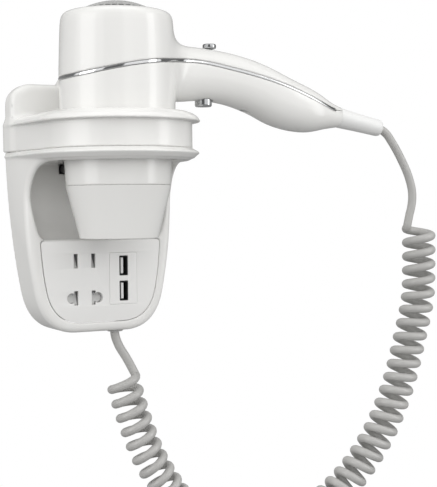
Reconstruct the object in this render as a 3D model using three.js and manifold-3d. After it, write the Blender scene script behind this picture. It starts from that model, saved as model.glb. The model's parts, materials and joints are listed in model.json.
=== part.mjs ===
// Wall-mounted hair dryer: a socket holder with a collar, and a corded handset that hangs in it.
// Millimetres, +Z up. The wall is the plane Y = 0 and the holder stands out of it along -Y.
// "out" below is the distance from the wall, so a point at out = d has Y = -d.
import * as THREE from 'three';
import { mergeVertices } from 'three/addons/utils/BufferGeometryUtils.js';
import Module from 'manifold-3d';

const wasm = await Module();
wasm.setup();

// ---------------------------------------------------------------- driving dimensions
const GAP = 0.3;                    // play between pieces that touch
const WALL = 2.2;                   // moulded wall thickness of the handset
const HOLDER_WALL = 3;              // moulded wall thickness of the holder
const HOLDER = { top: 86, bottom: -84, halfTop: 58.5, back: 2.3, front: 36.5, upperFront: 19 };
const PARTING = 39.5;               // height where the collar moulding sits on the base moulding
const COLLAR = { axisOut: 68.5, radius: 49, wallHalf: 57.6, bore: 41, lowerBore: 38.5, seat: 41 };
const RECESS = { back: 12, ledge: -20.7, roof: 31 };
const HUMP = { half: 19, top: 97, front: 17 };
const PANEL = { back: 33.9, front: 36.4, top: -21, bottom: -77 };
const OUTLET = { x: -12.4, pitch: 12.7, roundPitch: 19, upper: -35, lower: -60.3 };
const USB = { x: 16.1, rows: [-39, -56.4], width: 5.7, height: 13.1 };
const OUTLET_END = 15.6;            // lower end of the barrel, where the nozzle starts
const NOZZLE = { top: 15.3, bottom: -19, radius: 34.6, tip: 26, wall: 2 };
const GRILLE = { radius: 24.6, edge: 129.4, top: 136.6 };
const STRIP = { half: 0.95, clear: 1.2 };
const TAIL = { start: [169.8, 64.6], end: [207.6, 57.2], radii: [7, 6.1], bore: 3.3 };
const SLIDER = { x: 68, radius: 4.6, travel: 6, top: 112 };
const TRIGGER = { x: 63, radius: 5.8, bottom: 69, travel: 2.5 };
const CORD = { wire: 6.2, coil: 25 };
const LEVER = { x: -19.5, width: 5, bottom: 23.5, top: 29.5, back: 6.2 };

// upper and lower edge of the handle, its half width, and the split between its two shells
const HANDLE_TOP = [[20, 111], [44, 111.8], [51, 109.5], [66, 108.2], [84, 105.8], [108, 99.6], [128, 91.3],
  [148.5, 82.8], [165, 74.2], [171, 72]];
const HANDLE_BOTTOM = [[20, 70.5], [48, 72.1], [57, 73], [71, 72.4], [84, 70], [99.5, 64.9], [115.4, 57.9],
  [131.7, 54], [144, 53.2], [160.9, 56], [171, 57.4]];
const HANDLE_HALF = [[20, 19], [44, 16.5], [60, 15], [100, 15.5], [130, 16.8], [150, 15], [164, 10.5], [171, 8]];
const SPLIT = [[-45, 84], [-33, 86.1], [-10, 90.8], [7, 93.7], [25, 96], [40, 97.8], [55, 97.7], [78, 94.3],
  [101, 89.5], [125, 82.7], [141, 76.6], [153.5, 71.7], [161, 69.4], [175, 68.4]];
// radius and height of the barrel, from its outlet up to the inlet grille
const BARREL = [[34.7, OUTLET_END], [35.6, 33], [36, 40], [37.3, 47], [37.9, 56], [38.1, 68], [38.4, 80],
  [38.3, 92], [37.9, 105], [37.5, 115], [36.9, 123.5], [35.6, 127], [33, 128.7], [29, 129.4], [22.8, 129.9]];

// ---------------------------------------------------------------- helpers
/** A closed solid from any closed three.js geometry. */
function solid(geometry) {
  const plain = geometry.clone();
  plain.deleteAttribute('normal');
  plain.deleteAttribute('uv');
  const merged = mergeVertices(plain, 1e-4);
  return new wasm.Manifold(new wasm.Mesh({
    numProp: 3,
    vertProperties: new Float32Array(merged.attributes.position.array),
    triVerts: new Uint32Array(merged.index.array),
  }));
}

/** A three.js geometry from a solid. */
function geometryOf(body) {
  const mesh = body.getMesh();
  const geometry = new THREE.BufferGeometry();
  geometry.setAttribute('position', new THREE.BufferAttribute(new Float32Array(mesh.vertProperties), 3));
  geometry.setIndex(new THREE.BufferAttribute(new Uint32Array(mesh.triVerts), 1));
  geometry.computeVertexNormals();
  return geometry;
}

/** Value at x of a smooth curve through [x, value] pairs. */
function curveAt(pairs, x) {
  let i = 0;
  while (i < pairs.length - 2 && x > pairs[i + 1][0]) i += 1;
  const slope = (a, b) => (pairs[b][1] - pairs[a][1]) / (pairs[b][0] - pairs[a][0]);
  const before = slope(Math.max(i - 1, 0), i + 1);
  const after = slope(i, Math.min(i + 2, pairs.length - 1));
  const width = pairs[i + 1][0] - pairs[i][0];
  const t = THREE.MathUtils.clamp((x - pairs[i][0]) / width, 0, 1);
  const ease = t * t * (3 - 2 * t);
  return pairs[i][1] * (1 - ease) + pairs[i + 1][1] * ease
    + width * t * (1 - t) * ((1 - t) * before - t * after);
}

/** Solid box from its limits; the second pair is the distance out of the wall. */
function box([x0, x1], [out0, out1], [z0, z1]) {
  const geometry = new THREE.BoxGeometry(x1 - x0, out1 - out0, z1 - z0);
  return solid(geometry.translate((x0 + x1) / 2, -(out0 + out1) / 2, (z0 + z1) / 2));
}

/** Solid of an outline in (x, z), from one distance out of the wall to another. */
function slab(shape, out0, out1) {
  const geometry = new THREE.ExtrudeGeometry(shape, { depth: out1 - out0, bevelEnabled: false, curveSegments: 5 });
  return solid(geometry.rotateX(Math.PI / 2).translate(0, -out0, 0));
}

/** Solid of an outline in (out, z), from one x to another. */
function across(points, x0, x1) {
  const shape = new THREE.Shape(points.map(([out, z]) => new THREE.Vector2(out, z)));
  const geometry = new THREE.ExtrudeGeometry(shape, { depth: x1 - x0, bevelEnabled: false });
  const axes = new THREE.Matrix4().makeBasis(
    new THREE.Vector3(0, -1, 0), new THREE.Vector3(0, 0, 1), new THREE.Vector3(-1, 0, 0));
  return solid(geometry.applyMatrix4(axes).translate(x1, 0, 0));
}

/** Solid of an outline in (x, z) running along Y around the barrel's axis. */
function through(points, halfWidth = 70) {
  const shape = new THREE.Shape(points.map(([x, z]) => new THREE.Vector2(x, z)));
  return slab(shape, COLLAR.axisOut - halfWidth, COLLAR.axisOut + halfWidth);
}

/** Turned solid about a vertical axis; profile is [radius, z] and starts and ends on the axis or closes. */
function turned(profile, x = 0, out = COLLAR.axisOut, sides = 30) {
  const points = profile.map(([radius, z]) => new THREE.Vector2(radius, z));
  const geometry = new THREE.LatheGeometry(points, sides);
  return solid(geometry.rotateX(Math.PI / 2).translate(x, -out, 0));
}

/** Turned ring between two radii and two heights. */
function ring(inner, outer, z0, z1, x = 0, out = COLLAR.axisOut, sides = 24) {
  return turned([[inner, z0], [outer, z0], [outer, z1], [inner, z1], [inner, z0]], x, out, sides);
}

/** Vertical solid cylinder. */
function post(radius, z0, z1, x = 0, out = COLLAR.axisOut, sides = 20) {
  return turned([[0, z0], [radius, z0], [radius, z1], [0, z1]], x, out, sides);
}

/** Tapered solid rod between two points. */
function rod(from, to, radius0, radius1 = radius0, sides = 12) {
  const start = new THREE.Vector3(...from);
  const along = new THREE.Vector3(...to).sub(start);
  const geometry = new THREE.CylinderGeometry(radius1, radius0, along.length(), sides);
  geometry.translate(0, along.length() / 2, 0);
  geometry.applyQuaternion(new THREE.Quaternion().setFromUnitVectors(
    new THREE.Vector3(0, 1, 0), along.clone().normalize()));
  return solid(geometry.translate(...from));
}

/** Solid tube of a round section along a smooth curve through points. */
function tube(points, diameter, sides, steps) {
  const path = new THREE.CatmullRomCurve3(points.map((point) => new THREE.Vector3(...point)));
  const section = new THREE.Shape();
  for (let i = 0; i < sides; i += 1) {
    const angle = (i / sides) * 2 * Math.PI;
    const [u, v] = [Math.cos(angle) * diameter / 2, Math.sin(angle) * diameter / 2];
    if (i === 0) section.moveTo(u, v);
    else section.lineTo(u, v);
  }
  section.closePath();
  return solid(new THREE.ExtrudeGeometry(section, { steps, bevelEnabled: false, extrudePath: path }));
}

/** Solid skinned over closed sections that all have the same number of points. */
function loft(sections) {
  const count = sections[0].length;
  const centre = (points) => points.reduce((sum, point) => sum.add(point), new THREE.Vector3())
    .divideScalar(points.length);
  const vertices = sections.flat();
  const [first, last] = [vertices.length, vertices.length + 1];
  vertices.push(centre(sections[0]), centre(sections.at(-1)));
  const index = [];
  const top = (sections.length - 1) * count;
  for (let j = 0; j < count; j += 1) {
    const k = (j + 1) % count;
    for (let i = 0; i < top; i += count) {
      index.push(i + j, i + k, i + count + j, i + k, i + count + k, i + count + j);
    }
    index.push(first, k, j, last, top + j, top + k);
  }
  const geometry = new THREE.BufferGeometry().setFromPoints(vertices);
  geometry.setIndex(index);
  return solid(geometry);
}

/** Limits, out of the wall, of a piece centred on the barrel's axis. */
const onAxis = (half) => [COLLAR.axisOut - half, COLLAR.axisOut + half];
const joined = (first, ...others) => others.reduce((sum, item) => sum.add(item), first);
const cut = (first, ...others) => others.reduce((rest, item) => rest.subtract(item), first);

// ---------------------------------------------------------------- finishes
const FINISH = {
  white: { color: 0xf1f1ef, roughness: 0.22, metalness: 0 },
  panel: { color: 0xe9e9e8, roughness: 0.35, metalness: 0 },
  grey: { color: 0xc3c5c6, roughness: 0.4, metalness: 0 },
  chrome: { color: 0xd6d8da, roughness: 0.08, metalness: 1 },
  black: { color: 0x1a1a1b, roughness: 0.4, metalness: 0 },
  steel: { color: 0xb4b7ba, roughness: 0.3, metalness: 1 },
  brass: { color: 0xc9a650, roughness: 0.35, metalness: 1 },
  mica: { color: 0xb9a98c, roughness: 0.6, metalness: 0 },
  board: { color: 0x2f6b45, roughness: 0.5, metalness: 0 },
  cord: { color: 0xe6e6e4, roughness: 0.45, metalness: 0 },
};
const materials = {};
for (const [name, values] of Object.entries(FINISH)) {
  materials[name] = new THREE.MeshStandardMaterial(values);
}

const hairDryer = new THREE.Group();
const holder = new THREE.Group();
const handset = new THREE.Group();
const cord = new THREE.Group();
hairDryer.add(holder, handset, cord);

/** Adds one named piece to a sub-assembly. */
function add(group, name, body, finish) {
  const mesh = new THREE.Mesh(geometryOf(body), materials[finish].clone());
  mesh.name = name;
  group.add(mesh);
}

// ---------------------------------------------------------------- holder outlines
/** Shield outline of the holder seen from the front, moved inwards by inset. */
function shield(inset = 0) {
  const { top, bottom, halfTop } = HOLDER;
  const corner = 17 - inset / 2;
  const half = halfTop - inset;
  const shape = new THREE.Shape();
  shape.moveTo(-(half - corner), top - inset);
  shape.lineTo(half - corner, top - inset);
  shape.absarc(half - corner, top - inset - corner, corner, Math.PI / 2, 0, true);
  shape.quadraticCurveTo(56.1 - inset, -10.4, 46.8 - inset, -57);
  shape.bezierCurveTo(43.4 - inset, -74 + inset, 34 - inset, bottom + inset, 18, bottom + inset);
  shape.lineTo(-18, bottom + inset);
  shape.bezierCurveTo(-34 + inset, bottom + inset, -43.4 + inset, -74 + inset, -46.8 + inset, -57);
  shape.quadraticCurveTo(-56.1 + inset, -10.4, -half, top - inset - corner);
  shape.absarc(-(half - corner), top - inset - corner, corner, Math.PI, Math.PI / 2, true);
  return shape;
}

/** Outline of the socket panel, moved outwards by grow. */
function panelShape(grow = 0) {
  const shape = new THREE.Shape();
  const [top, bottom] = [PANEL.top + grow, PANEL.bottom - grow];
  shape.moveTo(-40.4, top);
  shape.lineTo(40.4, top);
  shape.quadraticCurveTo(43.4 + grow, top, 43.2 + grow, top - 3);
  shape.quadraticCurveTo(42 + grow, -44, 39 + grow, -57);
  shape.bezierCurveTo(36 + grow, -70, 28 + grow, bottom, 15, bottom);
  shape.lineTo(-15, bottom);
  shape.bezierCurveTo(-28 - grow, bottom, -36 - grow, -70, -39 - grow, -57);
  shape.quadraticCurveTo(-42 - grow, -44, -43.2 - grow, top - 3);
  shape.quadraticCurveTo(-43.4 - grow, top, -40.4, top);
  return shape;
}

/** U-shaped section of the collar at one height: half round in front, widening sides back to the wall. */
function collarSection(radius, z, wallHalf = COLLAR.wallHalf) {
  const steps = 18;
  const points = [new THREE.Vector3(-wallHalf, -HOLDER.back, z)];
  for (let i = 0; i <= steps; i += 1) {
    const angle = Math.PI + (i / steps) * Math.PI;
    points.push(new THREE.Vector3(
      radius * Math.cos(angle), radius * Math.sin(angle) - COLLAR.axisOut, z));
  }
  points.push(new THREE.Vector3(wallHalf, -HOLDER.back, z));
  return points;
}

/** Upright prism with the collar's U-shaped section. */
const collarPrism = (radius, z0, z1, wallHalf) => loft([
  collarSection(radius, z0, wallHalf), collarSection(radius, z1, wallHalf)]);

// ---------------------------------------------------------------- holder mouldings
// screws that hold the two mouldings to the wall plate, as [x, z]; the last two are in the lower moulding
const PLATE_SCREWS = [[-42, 50], [42, 50], [-38, -26], [38, -26]];
const boss = ([x, z], out) => rod([x, -2.6, z], [x, -out, z], 3.8);
const bossHole = ([x, z]) => rod([x, 0, z], [x, -13, z], 1.9);

/** Upper moulding: the collar with its top lip, and the plate that rises behind the barrel. */
function makeCollar() {
  const lip = [[49, PARTING + 0.2], [49, 56], [52.5, 56.2], [54, 57.2], [54, 58.6], [52.8, 60.6],
    [50, 62.4], [46.5, 63.6], [44, 64]];
  const outer = loft(lip.map(([radius, z]) => collarSection(radius, z)));
  const above = box([-70, 70], [0, 60], [PARTING + 0.2, 120]);
  const plate = slab(shield(), HOLDER.back, HOLDER.upperFront)
    .intersect(above)
    .intersect(collarPrism(COLLAR.radius, 30, 130, COLLAR.wallHalf + 0.6));
  const arch = new THREE.Shape();
  arch.moveTo(-HUMP.half - 6, HOLDER.top - 8);
  arch.lineTo(HUMP.half + 6, HOLDER.top - 8);
  arch.quadraticCurveTo(HUMP.half, HUMP.top, HUMP.half - 12, HUMP.top);
  arch.lineTo(-HUMP.half + 12, HUMP.top);
  arch.quadraticCurveTo(-HUMP.half, HUMP.top, -HUMP.half - 6, HOLDER.top - 8);
  const { back, upperFront } = HOLDER;
  const hollow = slab(shield(HOLDER_WALL), 0, upperFront - HOLDER_WALL)
    .intersect(box([-70, 70], [0, upperFront], [PARTING + HOLDER_WALL, HOLDER.top]));
  const mouth = turned([[0, 61.5], [COLLAR.bore, 61.5], [COLLAR.bore + 2.6, 64.2], [COLLAR.bore + 2.6, 70], [0, 70]]);
  const fixings = PLATE_SCREWS.slice(0, 2);
  const hollowed = cut(joined(outer, plate, slab(arch, back, HUMP.front)), hollow);
  return cut(
    joined(hollowed, ...fixings.map((place) => boss(place, upperFront - 2))),
    ...fixings.map(bossHole),
    post(COLLAR.bore, COLLAR.seat, 90, 0, COLLAR.axisOut, 30),
    post(COLLAR.lowerBore, 20, COLLAR.seat + 1, 0, COLLAR.axisOut, 30),
    mouth,
  );
}

/** Edge of the cheeks from the box front up and out to the underside of the collar, as [out, z]. */
function cheekEdge(steps = 6) {
  const { front } = HOLDER;
  const points = [];
  for (let i = 0; i <= steps; i += 1) {
    const angle = (i / steps) * Math.PI / 2;
    points.push([front + 30 * (1 - Math.cos(angle)), 4 + (RECESS.roof - 4) * Math.sin(angle)]);
  }
  return points;
}

/** Floor of the recess: straight back wall that curves forward into the ledge, as [out, z]. */
function recessProfile(steps = 6) {
  const { back, ledge, roof } = RECESS;
  const [reach, rise] = [HOLDER.front - back, 23];
  const points = [[140, roof], [back, roof]];
  for (let i = 0; i <= steps; i += 1) {
    const angle = (i / steps) * Math.PI / 2;
    points.push([back + reach * (1 - Math.cos(angle)), ledge + rise * (1 - Math.sin(angle))]);
  }
  points.push([140, ledge]);
  return points;
}

/** Lower moulding: socket box, cheeks, recess and the bottom lip of the collar. */
function makeBase() {
  const { back, front } = HOLDER;
  const body = slab(shield(), back, front)
    .intersect(box([-70, 70], [0, 60], [-90, PARTING - 0.1]))
    .intersect(collarPrism(COLLAR.radius, -100, 60, COLLAR.wallHalf + 0.6));
  const cheeks = collarPrism(COLLAR.radius, -4, PARTING - 0.1)
    .intersect(across([[back, -4], [front, -4], ...cheekEdge(), [140, RECESS.roof], [140, 45], [back, 45]], -70, 70));
  const lip = [[46, RECESS.roof], [50.5, 33.2], [53, 35.6], [53.6, 36.8], [52, 38.2], [49.2, PARTING - 0.1]];
  const underside = loft(lip.map(([radius, z]) => collarSection(radius, z)));
  const recess = across(recessProfile(), -60, 60).intersect(
    collarPrism(COLLAR.radius - 3.6, RECESS.ledge - 1, RECESS.roof, COLLAR.wallHalf - 4));
  const boxHollow = slab(shield(HOLDER_WALL), 0, front - HOLDER_WALL + 0.3)
    .intersect(box([-70, 70], [0, 60], [-90, RECESS.ledge - HOLDER_WALL]));
  const wallHollow = slab(shield(HOLDER_WALL), 0, RECESS.back - 2.5)
    .intersect(box([-52, 52], [0, 60], [RECESS.ledge - 5, RECESS.roof - 3]));
  const fixings = PLATE_SCREWS.slice(2);
  const hollowed = cut(joined(body, cheeks, underside), recess, boxHollow, wallHollow);
  return cut(
    joined(hollowed, ...fixings.map((place) => boss(place, PANEL.back - 1))),
    ...fixings.map(bossHole),
    slab(panelShape(0.4), front - 4, front + 4),
    post(COLLAR.lowerBore, 20, 50, 0, COLLAR.axisOut, 30),
    box([LEVER.x - 3.1, LEVER.x + 3.1], [5, 14], [LEVER.bottom - 0.6, LEVER.top + 0.6]),
    post(5, -90, -78, 13, 26),
  );
}

add(holder, 'holder_collar', makeCollar(), 'white');
add(holder, 'holder_base', makeBase(), 'white');

// ---------------------------------------------------------------- wall plate and fasteners
const WALL_SCREWS = [[-28, 66], [28, 66], [0, -70]];
const wallHoles = [
  ...WALL_SCREWS.map(([x, z]) => rod([x, 1, z], [x, -4, z], 2.4)),
  ...PLATE_SCREWS.map(([x, z]) => rod([x, 1, z], [x, -4, z], 3.4)),
];
const cableEntry = rod([0, 1, 30], [0, -4, 30], 9);
add(holder, 'wall_plate', cut(slab(shield(6), 0, 2), cableEntry, ...wallHoles), 'grey');
WALL_SCREWS.forEach(([x, z], i) => {
  const screw = joined(rod([x, -0.3, z], [x, -3, z], 2), rod([x, -2.3, z], [x, -4.6, z], 4.2, 3.2));
  add(holder, `wall_screw_${i + 1}`, screw, 'steel');
});

// ---------------------------------------------------------------- socket panel
/** Slot for a flat pin, centred on x and z. */
const flatSlot = (x, z) => box([x - 1.5, x + 1.5], [PANEL.back - 1, PANEL.front + 1], [z - 4.8, z + 4.8]);

/** The openings of the panel: two flat slots, a pair for round or flat pins, and two USB ports. */
function panelOpenings() {
  const openings = [];
  for (const side of [-1, 1]) {
    const flat = OUTLET.x + side * OUTLET.pitch / 2;
    const round = OUTLET.x + side * OUTLET.roundPitch / 2;
    openings.push(flatSlot(flat, OUTLET.upper), flatSlot(flat, OUTLET.lower));
    openings.push(rod([round, -PANEL.back + 1, OUTLET.lower], [round, -PANEL.front - 1, OUTLET.lower], 3.5));
  }
  for (const z of USB.rows) {
    openings.push(box([USB.x - 3.2, USB.x + 3.2], [PANEL.back - 1, PANEL.front + 1], [z - 6.9, z + 6.9]));
  }
  return openings;
}
add(holder, 'socket_panel', cut(slab(panelShape(), PANEL.back, PANEL.front), ...panelOpenings()), 'panel');

// socket carrier: one block with a chamber behind each pole
const carrierBlock = box([-30, 4.2], [13, PANEL.back - GAP], [-70, -26]);
const chamber = (side) => {
  const x = OUTLET.x + side * OUTLET.pitch / 2;
  return joined(
    box([x - 3, x + 3], [16, 40], [-67, -29]),
    rod([x + side * 3.2, -25, OUTLET.lower], [x + side * 3.2, -40, OUTLET.lower], 3.6),
  );
};
add(holder, 'socket_carrier', cut(carrierBlock, chamber(-1), chamber(1)), 'grey');
for (const [side, name] of [[-1, 'contact_left'], [1, 'contact_right']]) {
  const x = OUTLET.x + side * OUTLET.pitch / 2;
  const spring = cut(box([x - 1.7, x + 1.7], [17, 32], [-66, -30]), box([x - 1, x + 1], [18, 40], [-70, -26]));
  add(holder, name, spring, 'brass');
}

// USB ports, one above the other, on their power board
USB.rows.forEach((z, i) => {
  const { x, width, height } = USB;
  const shell = cut(
    box([x - width / 2, x + width / 2], [21, 36.2], [z - height / 2, z + height / 2]),
    box([x - width / 2 + 0.35, x + width / 2 - 0.35], [22.5, 40], [z - height / 2 + 0.35, z + height / 2 - 0.35]),
  );
  add(holder, `usb_shell_${i + 1}`, shell, 'steel');
  const tongue = box([x - 1.7, x + 0.2], [22.8, 35], [z - 5.5, z + 5.5]);
  add(holder, `usb_tongue_${i + 1}`, tongue, 'white');
});
add(holder, 'usb_board', box([5, 31], [19, 20.6], [-68, -27]), 'board');
add(holder, 'usb_transformer', box([8, 22], [7, 18.6], [-58, -42]), 'black');
add(holder, 'terminal_block', box([-10, 16], [3, 9], [2, 14]), 'grey');
add(holder, 'park_switch', box([-20, -7], [3, 5.9], [22, 27.5]), 'black');
PLATE_SCREWS.forEach(([x, z], i) => {
  const screw = joined(rod([x, -0.3, z], [x, -2, z], 3), rod([x, -1.9, z], [x, -11, z], 1.6));
  add(holder, `plate_screw_${i + 1}`, screw, 'steel');
});

// cut-off lever: the hanging nose holds it in, and it comes out as the handset lifts
const leverBody = box([LEVER.x - LEVER.width / 2, LEVER.x + LEVER.width / 2],
  [LEVER.back, 44], [LEVER.bottom, LEVER.top]);
const leverNose = post(35.9, 10, 50, 0, COLLAR.axisOut, 30);
add(holder, 'park_lever', cut(leverBody, leverNose), 'black');

// soft ring that the shoulder of the barrel sits on
const liner = [[36.9, 41.4], [40.6, 41.4], [40.6, 50], [38.2, 50], [37.9, 47.5], [36.9, 41.4]];
add(holder, 'collar_liner', turned(liner), 'grey');

// grommet where the cord enters the holder
const grommet = [[3.3, -85.2], [5.4, -85.2], [5.8, -84.4], [4.6, -84.4], [4.6, -80.6], [6.6, -80.6], [6.6, -79.4],
  [3.3, -79.4], [3.3, -85.2]];
add(holder, 'cord_grommet', turned(grommet, 13, 26, 16), 'grey');

// ---------------------------------------------------------------- handset shells
/** Section of the handle at one x, moved inwards by inset. */
function handleSection(x, inset) {
  const top = curveAt(HANDLE_TOP, x) - inset;
  const bottom = curveAt(HANDLE_BOTTOM, x) + inset;
  const half = curveAt(HANDLE_HALF, x) - inset;
  const points = [];
  const count = 14;
  for (let i = 0; i < count; i += 1) {
    const angle = (i / count) * 2 * Math.PI;
    const round = (value) => Math.sign(value) * Math.abs(value) ** 0.86;
    points.push(new THREE.Vector3(x, -COLLAR.axisOut + half * round(Math.cos(angle)),
      (top + bottom) / 2 + (top - bottom) / 2 * round(Math.sin(angle))));
  }
  return points;
}

/** Barrel and handle as one solid, moved inwards by inset. */
function handsetBody(inset) {
  const stations = [];
  const [start, end, count] = [20, 170.5, 13];
  for (let i = 0; i <= count; i += 1) stations.push(start + (end - start - inset) * i / count);
  const handle = loft(stations.map((x) => handleSection(x, inset)));
  const side = BARREL.map(([radius, z]) => [radius - inset, z - (z > 110 ? inset * (z - 110) / 23 : 0)]);
  if (inset > 0) side[0][1] -= 10;
  const barrel = turned([[0, side[0][1]], ...side, [0, side.at(-1)[1]]]);
  return joined(barrel, handle);
}

/** The part of space between the split line moved by low and by high. */
function layer(low, high) {
  const line = [];
  for (let x = -45; x <= 175; x += 20) line.push([x, curveAt(SPLIT, x)]);
  return through([
    ...line.map(([x, z]) => [x, z + low]),
    ...line.reverse().map(([x, z]) => [x, z + high]),
  ]);
}

const HANDLE_SCREWS = [95, 134];
const outerBody = handsetBody(0);
const bosses = HANDLE_SCREWS.map((x) => post(3.8, 40, 120, x, COLLAR.axisOut, 16).intersect(outerBody));
const screwHoles = HANDLE_SCREWS.map((x) => post(1.9, 40, curveAt(HANDLE_TOP, x) - 6, x, COLLAR.axisOut, 16));
const headHoles = HANDLE_SCREWS.map((x) => post(3.2, 40, curveAt(HANDLE_BOTTOM, x) + 2, x, COLLAR.axisOut, 16));
const tailAxis = new THREE.Vector3(TAIL.end[0] - TAIL.start[0], 0, TAIL.end[1] - TAIL.start[1]).normalize();
const tailPoint = (distance) => [TAIL.start[0] + tailAxis.x * distance, -COLLAR.axisOut,
  TAIL.start[1] + tailAxis.z * distance];
const shellWall = cut(
  outerBody, handsetBody(WALL),
  post(GRILLE.radius + 0.3, GRILLE.edge - 2, 140, 0, COLLAR.axisOut, 30), post(20, 120, 140),
  rod(tailPoint(-14), tailPoint(8), 5),
);
const shells = cut(joined(shellWall, ...bosses), ...screwHoles, ...headHoles);
const sliderSlot = box([SLIDER.x - 3, SLIDER.x + 9.3], [COLLAR.axisOut - 1.8, COLLAR.axisOut + 1.8], [104, 112]);
const triggerHole = post(TRIGGER.radius + 0.4, 66, 80, TRIGGER.x);
add(handset, 'upper_shell', cut(shells.intersect(layer(STRIP.clear, 80)), sliderSlot), 'white');
add(handset, 'lower_shell', cut(shells.intersect(layer(-100, -STRIP.clear)), triggerHole), 'white');
add(handset, 'trim_strip', shellWall.intersect(layer(-STRIP.half, STRIP.half)), 'chrome');
HANDLE_SCREWS.forEach((x, i) => {
  const low = curveAt(HANDLE_BOTTOM, x) + 2.2;
  const screw = joined(post(1.5, low, low + 26, x, COLLAR.axisOut, 16), post(2.9, low - 1.5, low - 0.2, x,
    COLLAR.axisOut, 16), post(1.5, low - 0.4, low + 1, x, COLLAR.axisOut, 16));
  add(handset, `shell_screw_${i + 1}`, screw, 'steel');
});

// ---------------------------------------------------------------- air path, from inlet to outlet
/** Domed grille with radial slots. */
function makeGrille() {
  const { radius, edge, top } = GRILLE;
  const dome = (height) => {
    const points = [];
    for (let i = 0; i <= 4; i += 1) {
      const r = radius * (1 - i / 4);
      points.push([r, height + (top - edge - 0.6) * (1 - (r / radius) ** 2)]);
    }
    return points;
  };
  const cap = turned([...dome(edge - 1).reverse(), ...dome(edge + 0.6)], 0, COLLAR.axisOut, 20);
  const slots = [];
  for (let i = 0; i < 12; i += 1) {
    const slot = new THREE.BoxGeometry(12, 2, 12).translate(13, 0, top);
    slots.push(solid(slot.rotateZ(i * Math.PI / 6).translate(0, -COLLAR.axisOut, 0)));
  }
  return cut(cap, ...slots);
}
add(handset, 'inlet_grille', makeGrille(), 'grey');
add(handset, 'inlet_filter', post(19.4, 126.6, 127.4), 'steel');

/** Fan blades, hub and shaft turn together; the blades are flat plates set at a pitch. */
function makeFan() {
  const blades = [];
  for (let i = 0; i < 7; i += 1) {
    const blade = new THREE.BoxGeometry(22.5, 9, 1).rotateX(0.7).translate(19, 0, 116);
    blades.push(solid(blade.rotateZ(i * 2 * Math.PI / 7).translate(0, -COLLAR.axisOut, 0)));
  }
  return cut(joined(post(10, 111.5, 120.5), ...blades), post(1.8, 100, 122, 0, COLLAR.axisOut, 16));
}
add(handset, 'fan', makeFan(), 'black');
add(handset, 'motor_shaft', post(1.5, 103, 121, 0, COLLAR.axisOut, 16), 'steel');
add(handset, 'motor', cut(post(14, 82, 110), post(1.8, 102, 112, 0, COLLAR.axisOut, 16)), 'steel');

/** Duct that guides the air round the motor and holds it by a cup on guide vanes. */
function makeDuct() {
  const vanes = [];
  for (let i = 0; i < 6; i += 1) {
    const vane = new THREE.BoxGeometry(18.4, 1.2, 18).translate(23.4, 0, 98);
    vanes.push(solid(vane.rotateZ((i + 0.5) * Math.PI / 3).translate(0, -COLLAR.axisOut, 0)));
  }
  return joined(ring(32, 33.4, 86, 121), ring(14.3, 15.6, 88, 108), ...vanes);
}
add(handset, 'air_duct', makeDuct(), 'black');

const heaterCross = joined(
  box([-26, 26], [COLLAR.axisOut - 0.4, COLLAR.axisOut + 0.4], [30, 78]),
  box([-0.4, 0.4], [COLLAR.axisOut - 26, COLLAR.axisOut + 26], [30, 78]),
);
add(handset, 'heater_frame', heaterCross, 'mica');
const helix = [];
const [turns, perTurn] = [4, 12];
for (let i = 0; i <= turns * perTurn; i += 1) {
  const angle = (i / perTurn) * 2 * Math.PI;
  helix.push([27.8 * Math.cos(angle), 27.8 * Math.sin(angle) - COLLAR.axisOut, 36 + 9 * i / perTurn]);
}
add(handset, 'heater_coil', tube(helix, 1.8, 5, turns * perTurn), 'steel');
add(handset, 'heater_liner', ring(30.2, 30.9, 28, 80), 'mica');
add(handset, 'thermostat', box([5, 13], [COLLAR.axisOut + 5, COLLAR.axisOut + 13], [46, 51]), 'steel');
add(handset, 'thermal_fuse', post(2, 44, 56, -9, COLLAR.axisOut + 9, 16), 'brass');

/** Finger guard of the outlet: a rim with crossed bars. */
function makeGuard() {
  const bars = [];
  for (let i = -1; i <= 1; i += 1) {
    bars.push(box([i * 12 - 0.6, i * 12 + 0.6], onAxis(30), [24.4, 25.8]));
    bars.push(box([-30, 30], [COLLAR.axisOut + i * 12 - 0.6, COLLAR.axisOut + i * 12 + 0.6], [24.4, 25.8]));
  }
  const disc = post(29.2, 24.4, 25.8);
  return joined(ring(28.6, 30.8, 24, 26.4), joined(...bars).intersect(disc));
}
add(handset, 'outlet_guard', makeGuard(), 'black');

/** Cone with a spigot that turns inside the barrel's outlet. */
function makeNozzle() {
  const { top, bottom, radius, tip, wall } = NOZZLE;
  return turned([[tip, bottom], [radius, top], [32.1, top], [32.1, top + 7], [30.8, top + 7], [30.8, top - 1],
    [tip - wall, bottom], [tip, bottom]]);
}
add(handset, 'nozzle', makeNozzle(), 'white');

// ---------------------------------------------------------------- switches in the handle
const sliderCap = turned([[0, SLIDER.top - 3.4], [SLIDER.radius, SLIDER.top - 3.4], [SLIDER.radius, SLIDER.top - 1],
  [SLIDER.radius - 1, SLIDER.top], [0, SLIDER.top]], SLIDER.x, COLLAR.axisOut, 20);
const sliderStem = box([SLIDER.x - 2.2, SLIDER.x + 2.4], onAxis(1.4), [102.9, SLIDER.top - 2]);
add(handset, 'slide_switch_knob', joined(sliderCap, sliderStem), 'chrome');
add(handset, 'slide_switch', box([58, 79], onAxis(5), [98.8, 102.6]), 'black');

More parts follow.
